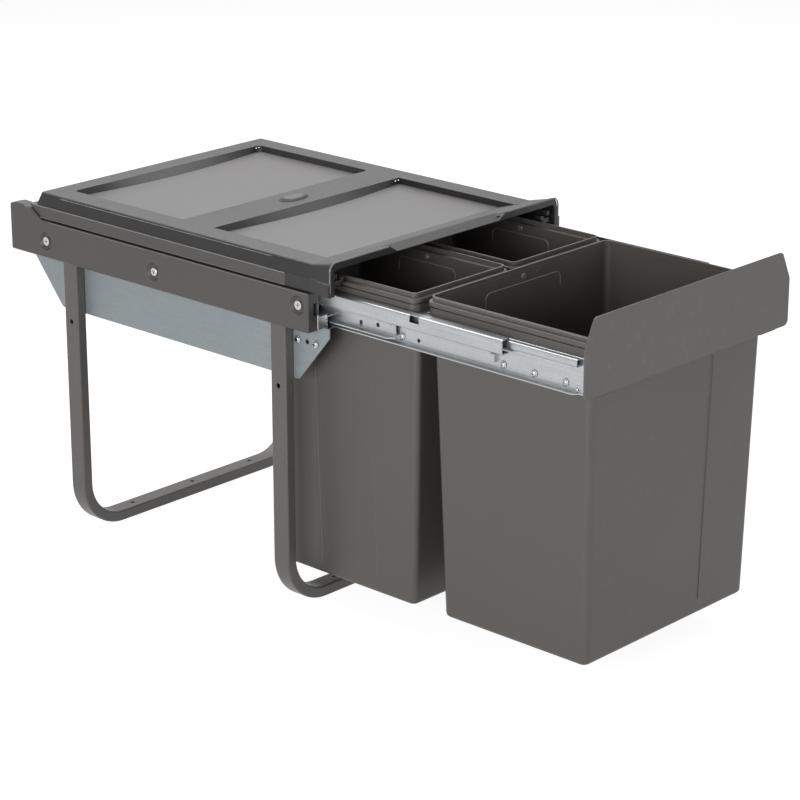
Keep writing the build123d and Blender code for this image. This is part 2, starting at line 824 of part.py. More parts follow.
# Cover screws: cross-head screws through the covers into the side plates
with BuildPart() as left_screws:
    with BuildSketch(Plane.YZ.offset(-cover_outer + dimple_depth - screw_head_height)):
        with Locations(*cover_screws):
            Circle(screw_head_radius)
    extrude(amount=screw_head_height)
    fillet(left_screws.faces().sort_by(Axis.X)[0].edges(), screw_head_height / 2)
    with BuildSketch(Plane.YZ.offset(-cover_outer + dimple_depth)):
        with Locations(*cover_screws):
            Circle(screw_shank_radius)
    extrude(amount=cover_outer - dimple_depth - plate_inner)
    with BuildSketch(Plane.YZ.offset(-cover_outer + dimple_depth - screw_head_height)):
        with Locations(*cover_screws):
            Rectangle(screw_cross, screw_cross_width)
            Rectangle(screw_cross_width, screw_cross)
    extrude(amount=screw_cross_depth, mode=Mode.SUBTRACT)
save_pair(left_screws.part, "cover_screws")


# Plate rivets: through the plate and the leg walls, and two loose ends beside the front leg
with BuildPart() as plate_rivets:
    leg_rivets = [(y, z) for y in (0, leg_spacing) for z in (leg_rivet_low, leg_rivet_high)]
    front_rivets = [
        (-plate_rivet_near, plate_rivet_height),
        (-plate_rivet_far, plate_rivet_height),
    ]
    with BuildSketch(Plane.YZ.offset(-plate_outer - leg_thickness)):
        with Locations(*leg_rivets):
            Circle(plate_rivet_radius)
    extrude(amount=leg_thickness + sheet)
    with BuildSketch(Plane.YZ.offset(-plate_outer - leg_thickness - plate_rivet_head / 2)):
        with Locations(*leg_rivets):
            Circle(plate_rivet_head_radius)
    extrude(amount=plate_rivet_head / 2)
    with BuildSketch(Plane.YZ.offset(-plate_outer - plate_rivet_head)):
        with Locations(*front_rivets):
            Circle(plate_rivet_head_radius)
    extrude(amount=plate_rivet_head)
    with BuildSketch(Plane.YZ.offset(-plate_outer)):
        with Locations(*front_rivets):
            Circle(plate_rivet_radius)
    extrude(amount=sheet)
save_pair(plate_rivets.part, "plate_rivets")


# Drawer rivets: low domed heads on the outside of the drawer rail and the stop pin
with BuildPart() as drawer_rivets:
    head_places = rail_rivet_places + [(-stop_pin_reach, drawer_rivet_height)]
    with BuildSketch(Plane.YZ.offset(-drawer_web_outer - drawer_rivet_head)):
        with Locations(*head_places):
            Circle(drawer_rivet_head_radius)
    extrude(amount=drawer_rivet_head)
    fillet(drawer_rivets.faces().sort_by(Axis.X)[0].edges(), drawer_rivet_head / 2)
    with BuildSketch(Plane.YZ.offset(-drawer_web_outer)):
        with Locations(*rail_rivet_places):
            Circle(drawer_rivet_radius)
    extrude(amount=sheet + bracket_sheet)
    with BuildSketch(Plane.YZ.offset(-drawer_web_outer)):
        with Locations((-stop_pin_reach, drawer_rivet_height)):
            Circle(drawer_rivet_radius)
    extrude(amount=sheet)
save_pair(drawer_rivets.part, "drawer_rivets")


# Lid rails: moulded strips on the side plates that the lid sits on
slope_length = cover_slope_length / cover_slope_rise
cover_slope_foot = cover_rear - cover_hump_length - cover_dip_length - cover_slope_length
rail_cut_low = cover_slope_foot + (lid_rail_bottom - cover_top) * slope_length - lid_rail_cut_gap
rail_cut_high = cover_slope_foot + (lid_rail_top - cover_top) * slope_length - lid_rail_cut_gap
lid_rail_outer = cover_outer - lid_rail_inset
lid_rail_inner = plate_outer
with BuildPart() as lid_rail:
    with BuildSketch(Plane.XZ.offset(lid_rail_front_reach)):
        with BuildLine():
            Polyline(
                (-lid_rail_outer, lid_rail_bottom),
                (-lid_rail_outer, lid_rail_top),
                (-lid_rail_inner, lid_rail_top),
                (-lid_rail_inner, lid_rail_leg_bottom),
                (-lid_rail_inner - lid_rail_wall, lid_rail_leg_bottom),
                (-lid_rail_inner - lid_rail_wall, lid_rail_top - lid_rail_wall),
                (-lid_rail_outer + lid_rail_wall, lid_rail_top - lid_rail_wall),
                (-lid_rail_outer + lid_rail_wall, lid_rail_bottom),
                close=True,
            )
        make_face()
    extrude(amount=-(lid_rail_front_reach + rail_cut_high))
    # Rear end cut to the slope of the side cover, down to the leg of the strip
    with BuildSketch(Plane.YZ.offset(-lid_rail_outer - overrun)):
        with BuildLine():
            Polyline(
                (rail_cut_low, lid_rail_bottom),
                (rail_cut_high, lid_rail_top),
                (rail_cut_high + overrun, lid_rail_top),
                (rail_cut_high + overrun, lid_rail_leg_bottom - overrun),
                (rail_cut_low, lid_rail_leg_bottom - overrun),
                close=True,
            )
        make_face()
    extrude(amount=lid_rail_outer + overrun, mode=Mode.SUBTRACT)
save_pair(lid_rail.part, "lid_rail")


# Lid: moulded cover over the rear of the drawer, with two recesses and a raised front lip
def lid_section(reach, foot_half_width, side_half_width, top, corner, inset=0):
    """Arch across the lid: a wide foot beside the lid rails, then sides that lean in to the top."""
    foot = lid_rail_bottom - 2 * inset
    with BuildSketch(Plane.XZ.offset(reach)) as arch:
        with BuildLine():
            Polyline(
                (-foot_half_width, foot),
                (-foot_half_width, lid_rail_top),
                (-side_half_width, lid_rail_top + lid_step_rise),
                (-side_half_width + lid_draft, top),
                (side_half_width - lid_draft, top),
                (side_half_width, lid_rail_top + lid_step_rise),
                (foot_half_width, lid_rail_top),
                (foot_half_width, foot),
                close=True,
            )
        make_face()
        fillet(arch.vertices().group_by(Axis.Y)[-1], corner)
        if inset:
            offset(amount=-inset, kind=Kind.INTERSECTION)
    return arch.sketch


def flare_section(inset=0):
    return lid_section(
        lid_flare_reach,
        lid_rail_outer,
        lid_half_width + lid_collar_step,
        lid_top + lid_collar_step,
        lid_edge_round,
        inset,
    )


def lip_section(inset=0):
    return lid_section(
        lid_lip_reach, lid_lip_foot_half_width, lid_lip_half_width, lid_lip_top, lid_lip_corner, inset
    )


lid_pan_depth = recess_depth + lid_wall
lid_length = lid_rear + lid_flare_reach
lid_middle = (lid_rear - lid_flare_reach) / 2
flare_slope = (lid_lip_top - lid_top) / (lid_lip_reach - lid_flare_reach)
ramp_top = lid_top + (front_recess_front_reach - lid_flare_reach) * flare_slope + seat_gap
with BuildPart() as lid:
    # Body with sides that lean in, rounded corners at the rear and a rounded top edge
    with BuildSketch(Plane.XY.offset(lid_rail_top)):
        with Locations((0, lid_middle)):
            Rectangle(2 * lid_half_width, lid_length)
    with BuildSketch(Plane.XY.offset(lid_top)):
        with Locations((0, lid_middle - lid_draft / 2)):
            Rectangle(2 * (lid_half_width - lid_draft), lid_length - lid_draft)
    loft()
    rear_corners = lid.edges().filter_by(lambda edge: abs(edge.tangent_at(0).Z) > upright_share)
    fillet(rear_corners.group_by(Axis.Y)[-1], lid_corner)
    fillet(lid.faces().sort_by(Axis.Z)[-1].edges().sort_by(Axis.Y)[1:], lid_edge_round)
    with BuildSketch(Plane.XY.offset(lid_rail_top)):
        with Locations((0, lid_middle - lid_wall - overrun)):
            Rectangle(2 * (lid_half_width - lid_wall) - lid_draft, lid_length + 2 * overrun - lid_draft)
    extrude(amount=lid_top - lid_edge_round - lid_rail_top, mode=Mode.SUBTRACT)
    with BuildSketch(Plane.XY.offset(lid_rail_top)):
        with Locations((0, lid_middle - lid_edge_round - overrun)):
            Rectangle(2 * (lid_half_width - lid_edge_round), lid_length + 2 * overrun)
    extrude(amount=lid_top - lid_wall - lid_rail_top, mode=Mode.SUBTRACT)
    # Collar drawn up and out to the front lip, and the bands beside it that meet the lid rails
    loft([flare_section(), lip_section()])
    loft([flare_section(lid_wall), lip_section(lid_wall)], mode=Mode.SUBTRACT)
    for side in (-1, 1):
        with BuildSketch(Plane.XZ.offset(lid_flare_reach)):
            with BuildLine():
                Polyline(
                    (side * lid_rail_outer, lid_rail_bottom),
                    (side * lid_rail_outer, lid_rail_top),
                    (side * (lid_half_width - lid_wall), lid_rail_top),
                    (side * (lid_half_width - lid_wall), lid_rail_top - lid_wall),
                    (side * (lid_rail_outer - lid_wall), lid_rail_top - lid_wall),
                    (side * (lid_rail_outer - lid_wall), lid_rail_bottom),
                    close=True,
                )
            make_face()
        extrude(amount=lid_rail_front_reach + fit_gap - lid_flare_reach)
    # Front lip, deeper at the sides than along the top
    extrude(lip_section(), amount=-lid_lip_thickness)
    with BuildSketch(Plane.XZ.offset(lid_lip_reach)) as mouth:
        with BuildLine():
            Polyline(
                (-lid_mouth_half_width, lid_rail_bottom - overrun),
                (-lid_mouth_half_width, lid_lip_top - lid_lip_drop),
                (lid_mouth_half_width, lid_lip_top - lid_lip_drop),
                (lid_mouth_half_width, lid_rail_bottom - overrun),
                close=True,
            )
        make_face()
        fillet(mouth.vertices().group_by(Axis.Y)[-1], lid_lip_corner / 2)
    extrude(amount=-lid_lip_thickness, mode=Mode.SUBTRACT)
    # Finger scoop: the middle of the lip slopes down to its lower edge
    mouth_top = lid_lip_top - lid_lip_drop
    with BuildSketch(Plane.YZ.offset(-scoop_half_width - scoop_end)):
        with BuildLine():
            Polyline(
                (-lid_lip_reach, mouth_top),
                (-lid_lip_reach, mouth_top + scoop_edge),
                (-front_recess_front_reach, ramp_top),
                (-front_recess_front_reach, ramp_top - lid_wall),
                close=True,
            )
        make_face()
    extrude(amount=2 * (scoop_half_width + scoop_end))
    with BuildPart(mode=Mode.PRIVATE) as scoop:
        with BuildSketch(Plane.XZ.offset(lid_lip_reach + overrun)) as scoop_face:
            with BuildLine():
                Polyline(
                    (-scoop_half_width, mouth_top),
                    (-scoop_half_width - scoop_end, lid_lip_top),
                    (-scoop_half_width - scoop_end, lid_lip_top + overrun),
                    (scoop_half_width + scoop_end, lid_lip_top + overrun),
                    (scoop_half_width + scoop_end, lid_lip_top),
                    (scoop_half_width, mouth_top),
                    close=True,
                )
            make_face()
            fillet(scoop_face.vertices().group_by(Axis.Y)[1], scoop_corner)
        extrude(amount=-(lid_lip_reach + overrun - front_recess_front_reach))
        with BuildSketch(Plane.YZ.offset(-scoop_half_width - 2 * scoop_end)):
            with BuildLine():
                Polyline(
                    (-lid_lip_reach - overrun, mouth_top - overrun),
                    (-lid_lip_reach - overrun, mouth_top + scoop_edge),
                    (-lid_lip_reach, mouth_top + scoop_edge),
                    (-front_recess_front_reach, ramp_top),
                    (-front_recess_front_reach, mouth_top - overrun),
                    close=True,
                )
            make_face()
        extrude(amount=2 * (scoop_half_width + 2 * scoop_end), mode=Mode.SUBTRACT)
    add(scoop.part, mode=Mode.SUBTRACT)
    # Rear recess: a dished pan with drafted walls and its own floor
    rear_recess_middle = (rear_recess_front + rear_recess_rear) / 2
    rear_recess_length = rear_recess_rear - rear_recess_front
    with BuildSketch(Plane.XY.offset(lid_top - lid_pan_depth)):
        with Locations((0, rear_recess_middle)):
            RectangleRounded(
                2 * (recess_half_width + lid_wall - recess_draft),
                rear_recess_length + 2 * (lid_wall - recess_draft),
                recess_corner,
            )
    extrude(amount=recess_depth + lid_wall / 2)
    with BuildSketch(Plane.XY.offset(lid_top)):
        with Locations((0, rear_recess_middle)):
            RectangleRounded(2 * recess_half_width, rear_recess_length, recess_corner)
    with BuildSketch(Plane.XY.offset(lid_top - recess_depth)):
        with Locations((0, rear_recess_middle)):
            RectangleRounded(
                2 * (recess_half_width - recess_draft),
                rear_recess_length - 2 * recess_draft,
                recess_corner,
            )
    loft(mode=Mode.SUBTRACT)
    # Front recess: the same depth at the back, and a floor that ramps up into the collar
    with BuildSketch(Plane.YZ.offset(-recess_half_width - lid_wall)):
        with BuildLine():
            Polyline(
                (front_recess_rear + lid_wall, lid_top - lid_wall / 2),
                (front_recess_rear + lid_wall, lid_top - lid_pan_depth),
                (-recess_ramp_reach, lid_top - lid_pan_depth),
                (-front_recess_front_reach, ramp_top - lid_wall),
                (-lid_flare_reach, lid_top - lid_wall / 2),
                (-lid_flare_reach + lid_wall, lid_top - lid_wall / 2),
                close=True,
            )
        make_face()
    extrude(amount=2 * (recess_half_width + lid_wall))
    with BuildSketch(Plane.YZ.offset(-recess_half_width)):
        with BuildLine():
            Polyline(
                (front_recess_rear, lid_lip_top + overrun),
                (front_recess_rear, lid_top),
                (front_recess_rear - recess_draft, lid_top - recess_depth),
                (-recess_ramp_reach, lid_top - recess_depth),
                (-front_recess_front_reach, ramp_top),
                (-front_recess_front_reach, lid_lip_top + overrun),
                close=True,
            )
        make_face()
    extrude(amount=2 * recess_half_width, mode=Mode.SUBTRACT)
    # The rear wall of each recess slopes out to a bowed foot
    for wall_place in (rear_recess_rear, front_recess_rear):
        for height, bow in (
            (lid_top - recess_depth, recess_bow),
            (lid_top, recess_bow_top),
        ):
            with BuildSketch(Plane.XY.offset(height)):
                with BuildLine():
                    ThreePointArc(
                        (-recess_half_width, wall_place),
                        (0, wall_place - bow),
                        (recess_half_width, wall_place),
                    )
                    Line((-recess_half_width, wall_place), (recess_half_width, wall_place))
                make_face()
        loft()
    # Plain oval boss on the bar between the recesses
    badge_place = (front_recess_rear + rear_recess_front) / 2
    with BuildSketch(Plane.XY.offset(lid_top)):
        with Locations((0, badge_place)):
            Ellipse(badge_length / 2, badge_width / 2)
    with BuildSketch(Plane.XY.offset(lid_top + badge_height)):
        with Locations((0, badge_place)):
            Ellipse(badge_length / 2 - badge_step, badge_width / 2 - badge_step)
    loft()
save(lid.part, "lid")
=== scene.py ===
# %% [markdown]
# This lesson dresses a pull-out bin frame: a steel and plastic frame that stands in a kitchen
# cabinet, with a drawer of three waste bins under a fixed lid. The construction is already
# made and packed as a frame of solid pieces. Here it gets its finishes, its moulded and
# pressed details, its light and its camera. Everything is in metres, -Y is the way the
# drawer opens, and the near side in the picture is -X.

# %% Load the frame
import json
import math

import bpy
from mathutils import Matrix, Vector


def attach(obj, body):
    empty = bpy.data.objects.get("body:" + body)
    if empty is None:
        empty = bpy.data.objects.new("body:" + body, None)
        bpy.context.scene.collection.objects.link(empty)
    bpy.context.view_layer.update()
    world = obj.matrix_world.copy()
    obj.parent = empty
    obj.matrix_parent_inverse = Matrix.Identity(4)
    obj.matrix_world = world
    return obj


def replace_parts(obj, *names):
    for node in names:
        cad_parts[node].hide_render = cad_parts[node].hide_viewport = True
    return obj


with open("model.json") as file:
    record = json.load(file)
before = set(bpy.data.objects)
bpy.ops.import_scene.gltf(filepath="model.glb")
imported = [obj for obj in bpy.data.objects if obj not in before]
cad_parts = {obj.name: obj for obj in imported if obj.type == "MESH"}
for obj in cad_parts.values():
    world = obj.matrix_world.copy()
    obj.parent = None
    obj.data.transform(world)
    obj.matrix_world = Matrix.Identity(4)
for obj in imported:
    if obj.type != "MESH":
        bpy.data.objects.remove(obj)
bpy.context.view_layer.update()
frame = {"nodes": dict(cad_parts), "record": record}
nodes = frame["nodes"]


# %% [markdown]
# The picture was taken with a long lens from the front left, a little above the lid. A long
# lens keeps the edges nearly parallel. The camera could be turned by eye, but its place and
# lens were solved from straight edges of the object, so they are set as plain values.

# %% The camera
mm = 0.001
image_side = 800
focal_pixels = 2759.7
sensor_width = 36.0
far_clip = 50.0
camera_place = (-1973.5 * mm, -1841.2 * mm, 1117.5 * mm)
camera_turn = (-47.145, 19.124, 0.04)

camera_data = bpy.data.cameras.new("camera")
camera = bpy.data.objects.new("camera", camera_data)
bpy.context.scene.collection.objects.link(camera)
camera_data.sensor_width = sensor_width
camera_data.lens = camera_data.sensor_width * focal_pixels / image_side
camera_data.clip_end = far_clip
camera.location = camera_place
yaw, down, roll = (math.radians(angle) for angle in camera_turn)
camera.rotation_euler = (math.pi / 2 - down, roll, yaw)
bpy.context.scene.camera = camera
print("lens", round(camera_data.lens, 2), "mm")


# %% [markdown]
# The object stands on a white studio floor. A floor that is white because the lamps are
# strong would wash out the plastic, so the lamps stay plain, and the floor adds a little
# glow that only the camera and mirrors see. The object still leaves its soft shadow.

# %% The floor and the world
floor_size = 16.0
floor_grey = (0.35, 0.35, 0.35, 1)
floor_glow = 0.90
ambient_light = 0.13


def whiteness_seen(tree):
    """A value that is 1 for camera, glossy and transmission rays, and 0 for all others."""
    path = tree.nodes.new("ShaderNodeLightPath")
    both = tree.nodes.new("ShaderNodeMath")
    both.operation = "MAXIMUM"
    tree.links.new(path.outputs["Is Camera Ray"], both.inputs[0])
    tree.links.new(path.outputs["Is Glossy Ray"], both.inputs[1])
    seen = tree.nodes.new("ShaderNodeMath")
    seen.operation = "MAXIMUM"
    tree.links.new(both.outputs[0], seen.inputs[0])
    tree.links.new(path.outputs["Is Transmission Ray"], seen.inputs[1])
    return seen.outputs[0]


def studio_floor():
    bpy.ops.object.select_all(action="DESELECT")
    bpy.ops.mesh.primitive_plane_add(size=floor_size, location=(0, 0, 0))
    floor = bpy.context.object
    floor.name = "studio_floor"
    material = bpy.data.materials.new("studio_floor_white")
    material.use_nodes = True
    tree = material.node_tree
    tree.nodes.clear()
    paint = tree.nodes.new("ShaderNodeBsdfDiffuse")
    paint.inputs["Color"].default_value = floor_grey
    glow = tree.nodes.new("ShaderNodeEmission")
    amount = tree.nodes.new("ShaderNodeMath")
    amount.operation = "MULTIPLY"
    amount.inputs[1].default_value = floor_glow
    tree.links.new(whiteness_seen(tree), amount.inputs[0])
    tree.links.new(amount.outputs[0], glow.inputs["Strength"])
    both = tree.nodes.new("ShaderNodeAddShader")
    tree.links.new(paint.outputs[0], both.inputs[0])
    tree.links.new(glow.outputs[0], both.inputs[1])
    out = tree.nodes.new("ShaderNodeOutputMaterial")
    tree.links.new(both.outputs[0], out.inputs["Surface"])
    floor.data.materials.append(material)


def studio_world(ambient):
    world = bpy.data.worlds.new("studio")
    bpy.context.scene.world = world
    world.use_nodes = True
    tree = world.node_tree
    tree.nodes.clear()
    soft = tree.nodes.new("ShaderNodeBackground")
    soft.inputs["Strength"].default_value = ambient
    white = tree.nodes.new("ShaderNodeBackground")
    white.inputs["Strength"].default_value = 1.0
    mix = tree.nodes.new("ShaderNodeMixShader")
    tree.links.new(whiteness_seen(tree), mix.inputs[0])
    tree.links.new(soft.outputs[0], mix.inputs[1])
    tree.links.new(white.outputs[0], mix.inputs[2])
    out = tree.nodes.new("ShaderNodeOutputWorld")
    tree.links.new(mix.outputs[0], out.inputs["Surface"])


studio_floor()
studio_world(ambient_light)
bpy.context.scene.view_settings.view_transform = "Standard"
print("floor and world made")


# %% [markdown]
# Three large softboxes light it: one above and behind that makes the lid the brightest face,
# one from the front left for the long side, and a weaker one from the front that keeps the
# panel from going flat. Big sources give the soft highlight lines that run along folded zinc.

# %% The softboxes
def softbox(name, place, aim, size, watts):
    data = bpy.data.lights.new(name, "AREA")
    data.shape = "RECTANGLE"
    data.size, data.size_y = size
    data.energy = watts
    lamp = bpy.data.objects.new(name, data)
    bpy.context.scene.collection.objects.link(lamp)
    lamp.location = place
    lamp.rotation_euler = (Vector(aim) - Vector(place)).to_track_quat("-Z", "Y").to_euler()
    print(name, watts, "W")


middle = (0.0, -0.05, 0.22)
softbox("top_softbox", (0.45, 1.0, 2.0), middle, (2.0, 2.0), 37)
softbox("side_softbox", (-2.4, -0.7, 0.72), middle, (1.7, 1.3), 42)
softbox("front_softbox", (0.3, -2.7, 0.72), middle, (1.8, 1.3), 20)


# %% [markdown]
# A finish is a shader with its own colour, roughness and relief. Several finishes here share
# the same effects, so each effect is a node group with named inputs that every material
# places with its own values. The first helper makes an empty group with its sockets, and
# the others add one kind of node each.

# %% Helpers for node groups and materials
def empty_group(name, inputs, outputs):
    group = bpy.data.node_groups.new(name, "ShaderNodeTree")
    for socket, value in inputs.items():
        made = group.interface.new_socket(socket, in_out="INPUT", socket_type="NodeSocketFloat")
        made.default_value = value
    for socket, kind in outputs.items():
        group.interface.new_socket(socket, in_out="OUTPUT", socket_type=kind)
    return group, group.nodes.new("NodeGroupInput"), group.nodes.new("NodeGroupOutput")


def math_node(tree, operation, first, second):
    node = tree.nodes.new("ShaderNodeMath")
    node.operation = operation
    for socket, value in zip(node.inputs, (first, second)):
        if isinstance(value, (int, float)):
            socket.default_value = value
        else:
            tree.links.new(value, socket)
    return node.outputs[0]


def object_place(tree):
    return tree.nodes.new("ShaderNodeTexCoord").outputs["Object"]


def stretched(tree, vector, scale):
    node = tree.nodes.new("ShaderNodeMapping")
    node.inputs["Scale"].default_value = scale
    tree.links.new(vector, node.inputs["Vector"])
    return node.outputs[0]


def noise_node(tree, vector, scale, detail, roughness=0.5):
    node = tree.nodes.new("ShaderNodeTexNoise")
    node.inputs["Detail"].default_value = detail
    node.inputs["Roughness"].default_value = roughness
    if isinstance(scale, (int, float)):
        node.inputs["Scale"].default_value = scale
    else:
        tree.links.new(scale, node.inputs["Scale"])
    tree.links.new(vector, node.inputs["Vector"])
    return node.outputs["Fac"]


def remapped(tree, value, low, high, new_low, new_high):
    node = tree.nodes.new("ShaderNodeMapRange")
    for socket, number in zip(node.inputs[1:5], (low, high, new_low, new_high)):
        if isinstance(number, (int, float)):
            socket.default_value = number
        else:
            tree.links.new(number, socket)
    tree.links.new(value, node.inputs["Value"])
    return node.outputs[0]


# %% [markdown]
# Injection-moulded plastic comes out of an etched tool with a fine leathery grain. It could
# be modelled, but the grains are under a millimetre, so a bump does it: two noises, one for
# the grains and one for their uneven depth.

# %% Group: moulded grain
def make_grain_group():
    group, given, out = empty_group(
        "moulded_grain",
        {"Grain Scale": 900.0, "Depth": 1.0},
        {"Height": "NodeSocketFloat", "Shade": "NodeSocketFloat"},
    )
    place = object_place(group)
    grains = noise_node(group, place, given.outputs["Grain Scale"], 3.0, 0.6)
    patches = noise_node(group, place, 14.0, 2.0)
    deep = remapped(group, patches, 0.3, 0.7, 0.75, 1.15)
    uneven = math_node(group, "MULTIPLY", grains, deep)
    height = math_node(group, "MULTIPLY", uneven, given.outputs["Depth"])
    group.links.new(height, out.inputs["Height"])
    shade = remapped(group, grains, 0.3, 0.7, 0.0, 1.0)
    group.links.new(shade, out.inputs["Shade"])
    return group


moulded_grain = make_grain_group()
print("group", moulded_grain.name)


# %% [markdown]
# Handling leaves plastic and paint a little uneven: broad cloudy patches where the gloss
# changes, fine hairline scuffs, and a film of dust on what faces up. One group gives a mask
# for each, and every material uses them lightly.

# %% Group: handling and dust
def make_handling_group():
    group, given, out = empty_group(
        "handling_and_dust",
        {"Cloud Scale": 6.0, "Scuff Amount": 0.3},
        {"Clouds": "NodeSocketFloat", "Scuffs": "NodeSocketFloat", "Dust": "NodeSocketFloat"},
    )
    place = object_place(group)
    clouds = noise_node(group, place, given.outputs["Cloud Scale"], 4.0)
    group.links.new(remapped(group, clouds, 0.3, 0.7, 0.0, 1.0), out.inputs["Clouds"])
    lines = noise_node(group, stretched(group, place, (40, 500, 40)), 3.0, 2.0)
    fine = noise_node(group, place, 35.0, 3.0)
    thin = math_node(group, "MULTIPLY", remapped(group, lines, 0.62, 0.7, 0.0, 1.0), fine)
    scuffs = math_node(group, "MULTIPLY", thin, given.outputs["Scuff Amount"])
    group.links.new(scuffs, out.inputs["Scuffs"])
    geometry = group.nodes.new("ShaderNodeNewGeometry")
    parts = group.nodes.new("ShaderNodeSeparateXYZ")
    group.links.new(geometry.outputs["Normal"], parts.inputs[0])
    upward = remapped(group, parts.outputs["Z"], 0.5, 1.0, 0.0, 1.0)
    specks = remapped(group, noise_node(group, place, 160.0, 4.0, 0.7), 0.45, 0.75, 0.0, 1.0)
    group.links.new(math_node(group, "MULTIPLY", upward, specks), out.inputs["Dust"])
    return group


handling = make_handling_group()
print("group", handling.name)


# %% [markdown]
# Hot-dip galvanised sheet shows spangle: flat zinc crystals, each reflecting a little
# differently, with fine rolling lines under them. Cells of a Voronoi texture give the
# crystals, and a noise stretched along the sheet gives the rolling lines.

# %% Group: zinc spangle
def make_spangle_group():
    group, given, out = empty_group(
        "zinc_spangle",
        {"Crystal Scale": 160.0, "Crystal Contrast": 0.5},
        {"Tone": "NodeSocketFloat", "Rolling": "NodeSocketFloat"},
    )
    place = object_place(group)
    warp = noise_node(group, place, 60.0, 2.0)
    shifted = group.nodes.new("ShaderNodeVectorMath")
    shifted.operation = "MULTIPLY_ADD"
    group.links.new(warp, shifted.inputs[0])
    shifted.inputs[1].default_value = (0.004, 0.004, 0.004)
    group.links.new(place, shifted.inputs[2])
    cells = group.nodes.new("ShaderNodeTexVoronoi")
    group.links.new(shifted.outputs[0], cells.inputs["Vector"])
    group.links.new(given.outputs["Crystal Scale"], cells.inputs["Scale"])
    grey = group.nodes.new("ShaderNodeSeparateColor")
    group.links.new(cells.outputs["Color"], grey.inputs[0])
    broad = noise_node(group, place, 18.0, 3.0)
    tone = math_node(group, "ADD", math_node(group, "MULTIPLY", grey.outputs[0], 0.6), broad)
    tone = math_node(group, "SUBTRACT", tone, 0.8)
    tone = math_node(group, "MULTIPLY", tone, given.outputs["Crystal Contrast"])
    group.links.new(tone, out.inputs["Tone"])
    rolling = noise_node(group, stretched(group, place, (900, 14, 900)), 1.0, 3.0, 0.7)
    group.links.new(rolling, out.inputs["Rolling"])
    return group


zinc_spangle = make_spangle_group()
print("group", zinc_spangle.name)


# %% [markdown]
# Every finish is one Principled shader, and most finishes repeat the same steps: place a
# group, mix two colours by a mask, and turn a height into relief. A helper does each step,
# and the last one puts them together as dark moulded plastic.

# %% Finish helpers
dust_strength, scuff_strength = 0.05, 0.25
gloss_below, gloss_above = 0.04, 0.05
grain_depth = 0.0004


def new_finish(name, colour, roughness, metallic=0.0):
    material = bpy.data.materials.new(name)
    material.use_nodes = True
    tree = material.node_tree
    shader = tree.nodes["Principled BSDF"]
    shader.inputs["Base Color"].default_value = (*colour, 1)
    shader.inputs["Roughness"].default_value = roughness
    shader.inputs["Metallic"].default_value = metallic
    return material, tree, shader


def placed_group(tree, group, **values):
    node = tree.nodes.new("ShaderNodeGroup")
    node.node_tree = group
    for socket, value in values.items():
        node.inputs[socket.replace("_", " ")].default_value = value
    return node


def mixed(tree, factor, first, second):
    node = tree.nodes.new("ShaderNodeMix")
    node.data_type = "RGBA"
    tree.links.new(factor, node.inputs["Factor"])
    for socket, value in zip((node.inputs[6], node.inputs[7]), (first, second)):
        if isinstance(value, tuple):
            socket.default_value = (*value, 1)
        else:
            tree.links.new(value, socket)
    return node.outputs[2]


def relief(tree, shader, height, strength, distance):
    bump = tree.nodes.new("ShaderNodeBump")
    bump.inputs["Strength"].default_value = strength
    bump.inputs["Distance"].default_value = distance
    tree.links.new(height, bump.inputs["Height"])
    tree.links.new(bump.outputs[0], shader.inputs["Normal"])


def plastic(name, dark, light, roughness, grain_scale, grain_strength, scuff=0.3):
    """Dark moulded plastic: grain relief, cloudy gloss, scuffs, and dust on what faces up."""
    material, tree, shader = new_finish(name, dark, roughness)
    grain = placed_group(tree, moulded_grain, Grain_Scale=grain_scale)
    wear = placed_group(tree, handling, Scuff_Amount=scuff)
    tone = mixed(tree, grain.outputs["Shade"], dark, light)
    dust_colour = tuple(0.55 * value + 0.25 for value in light)
    dust = math_node(tree, "MULTIPLY", wear.outputs["Dust"], dust_strength)
    scuffs = math_node(tree, "MULTIPLY", wear.outputs["Scuffs"], scuff_strength)
    scuffed = math_node(tree, "ADD", dust, scuffs)
    tree.links.new(mixed(tree, scuffed, tone, dust_colour), shader.inputs["Base Color"])
    smoothest, roughest = roughness - gloss_below, roughness + gloss_above
    gloss = remapped(tree, wear.outputs["Clouds"], 0.0, 1.0, smoothest, roughest)
    tree.links.new(gloss, shader.inputs["Roughness"])
    relief(tree, shader, grain.outputs["Height"], grain_strength, grain_depth)
    return material, tree, shader


print("finish helpers made")


# %% [markdown]
# The dark parts are all the same warm grey, but not the same surface. The covers are grained
# and a little darker, the bins are smooth and softly glossy, and the legs and the panel are
# powder coated, which has a fine orange-peel. Rounded edges and small raised details get a
# glossier plastic painted much lighter, a painted highlight for the light they catch.

# %% Finishes: plastics and powder coat
cover_plastic = plastic(
    "cover_plastic", (0.065, 0.060, 0.056), (0.087, 0.080, 0.075), 0.42, 1100.0, 0.25
)[0]
bin_plastic = plastic(
    "bin_plastic", (0.091, 0.083, 0.076), (0.101, 0.093, 0.085), 0.42, 1500.0, 0.08
)[0]
leg_powder = plastic(
    "leg_powder_coat", (0.105, 0.098, 0.092), (0.130, 0.121, 0.114), 0.38, 700.0, 0.22
)[0]
panel_powder = plastic(
    "panel_powder_coat", (0.108, 0.101, 0.094), (0.122, 0.114, 0.107), 0.40, 800.0, 0.15, 0.5
)[0]
# Painted highlight: this plastic is about twice as light as the bins, so thin beads read as lit
# edges. Only its lower roughness is real.
painted_highlight_plastic = plastic(
    "painted_highlight_plastic", (0.190, 0.182, 0.176), (0.220, 0.211, 0.204), 0.24, 900.0, 0.05
)[0]
bracket_black = plastic(
    "bracket_black", (0.020, 0.020, 0.020), (0.030, 0.030, 0.030), 0.45, 900.0, 0.15
)[0]
print("plastics and powder coats made")
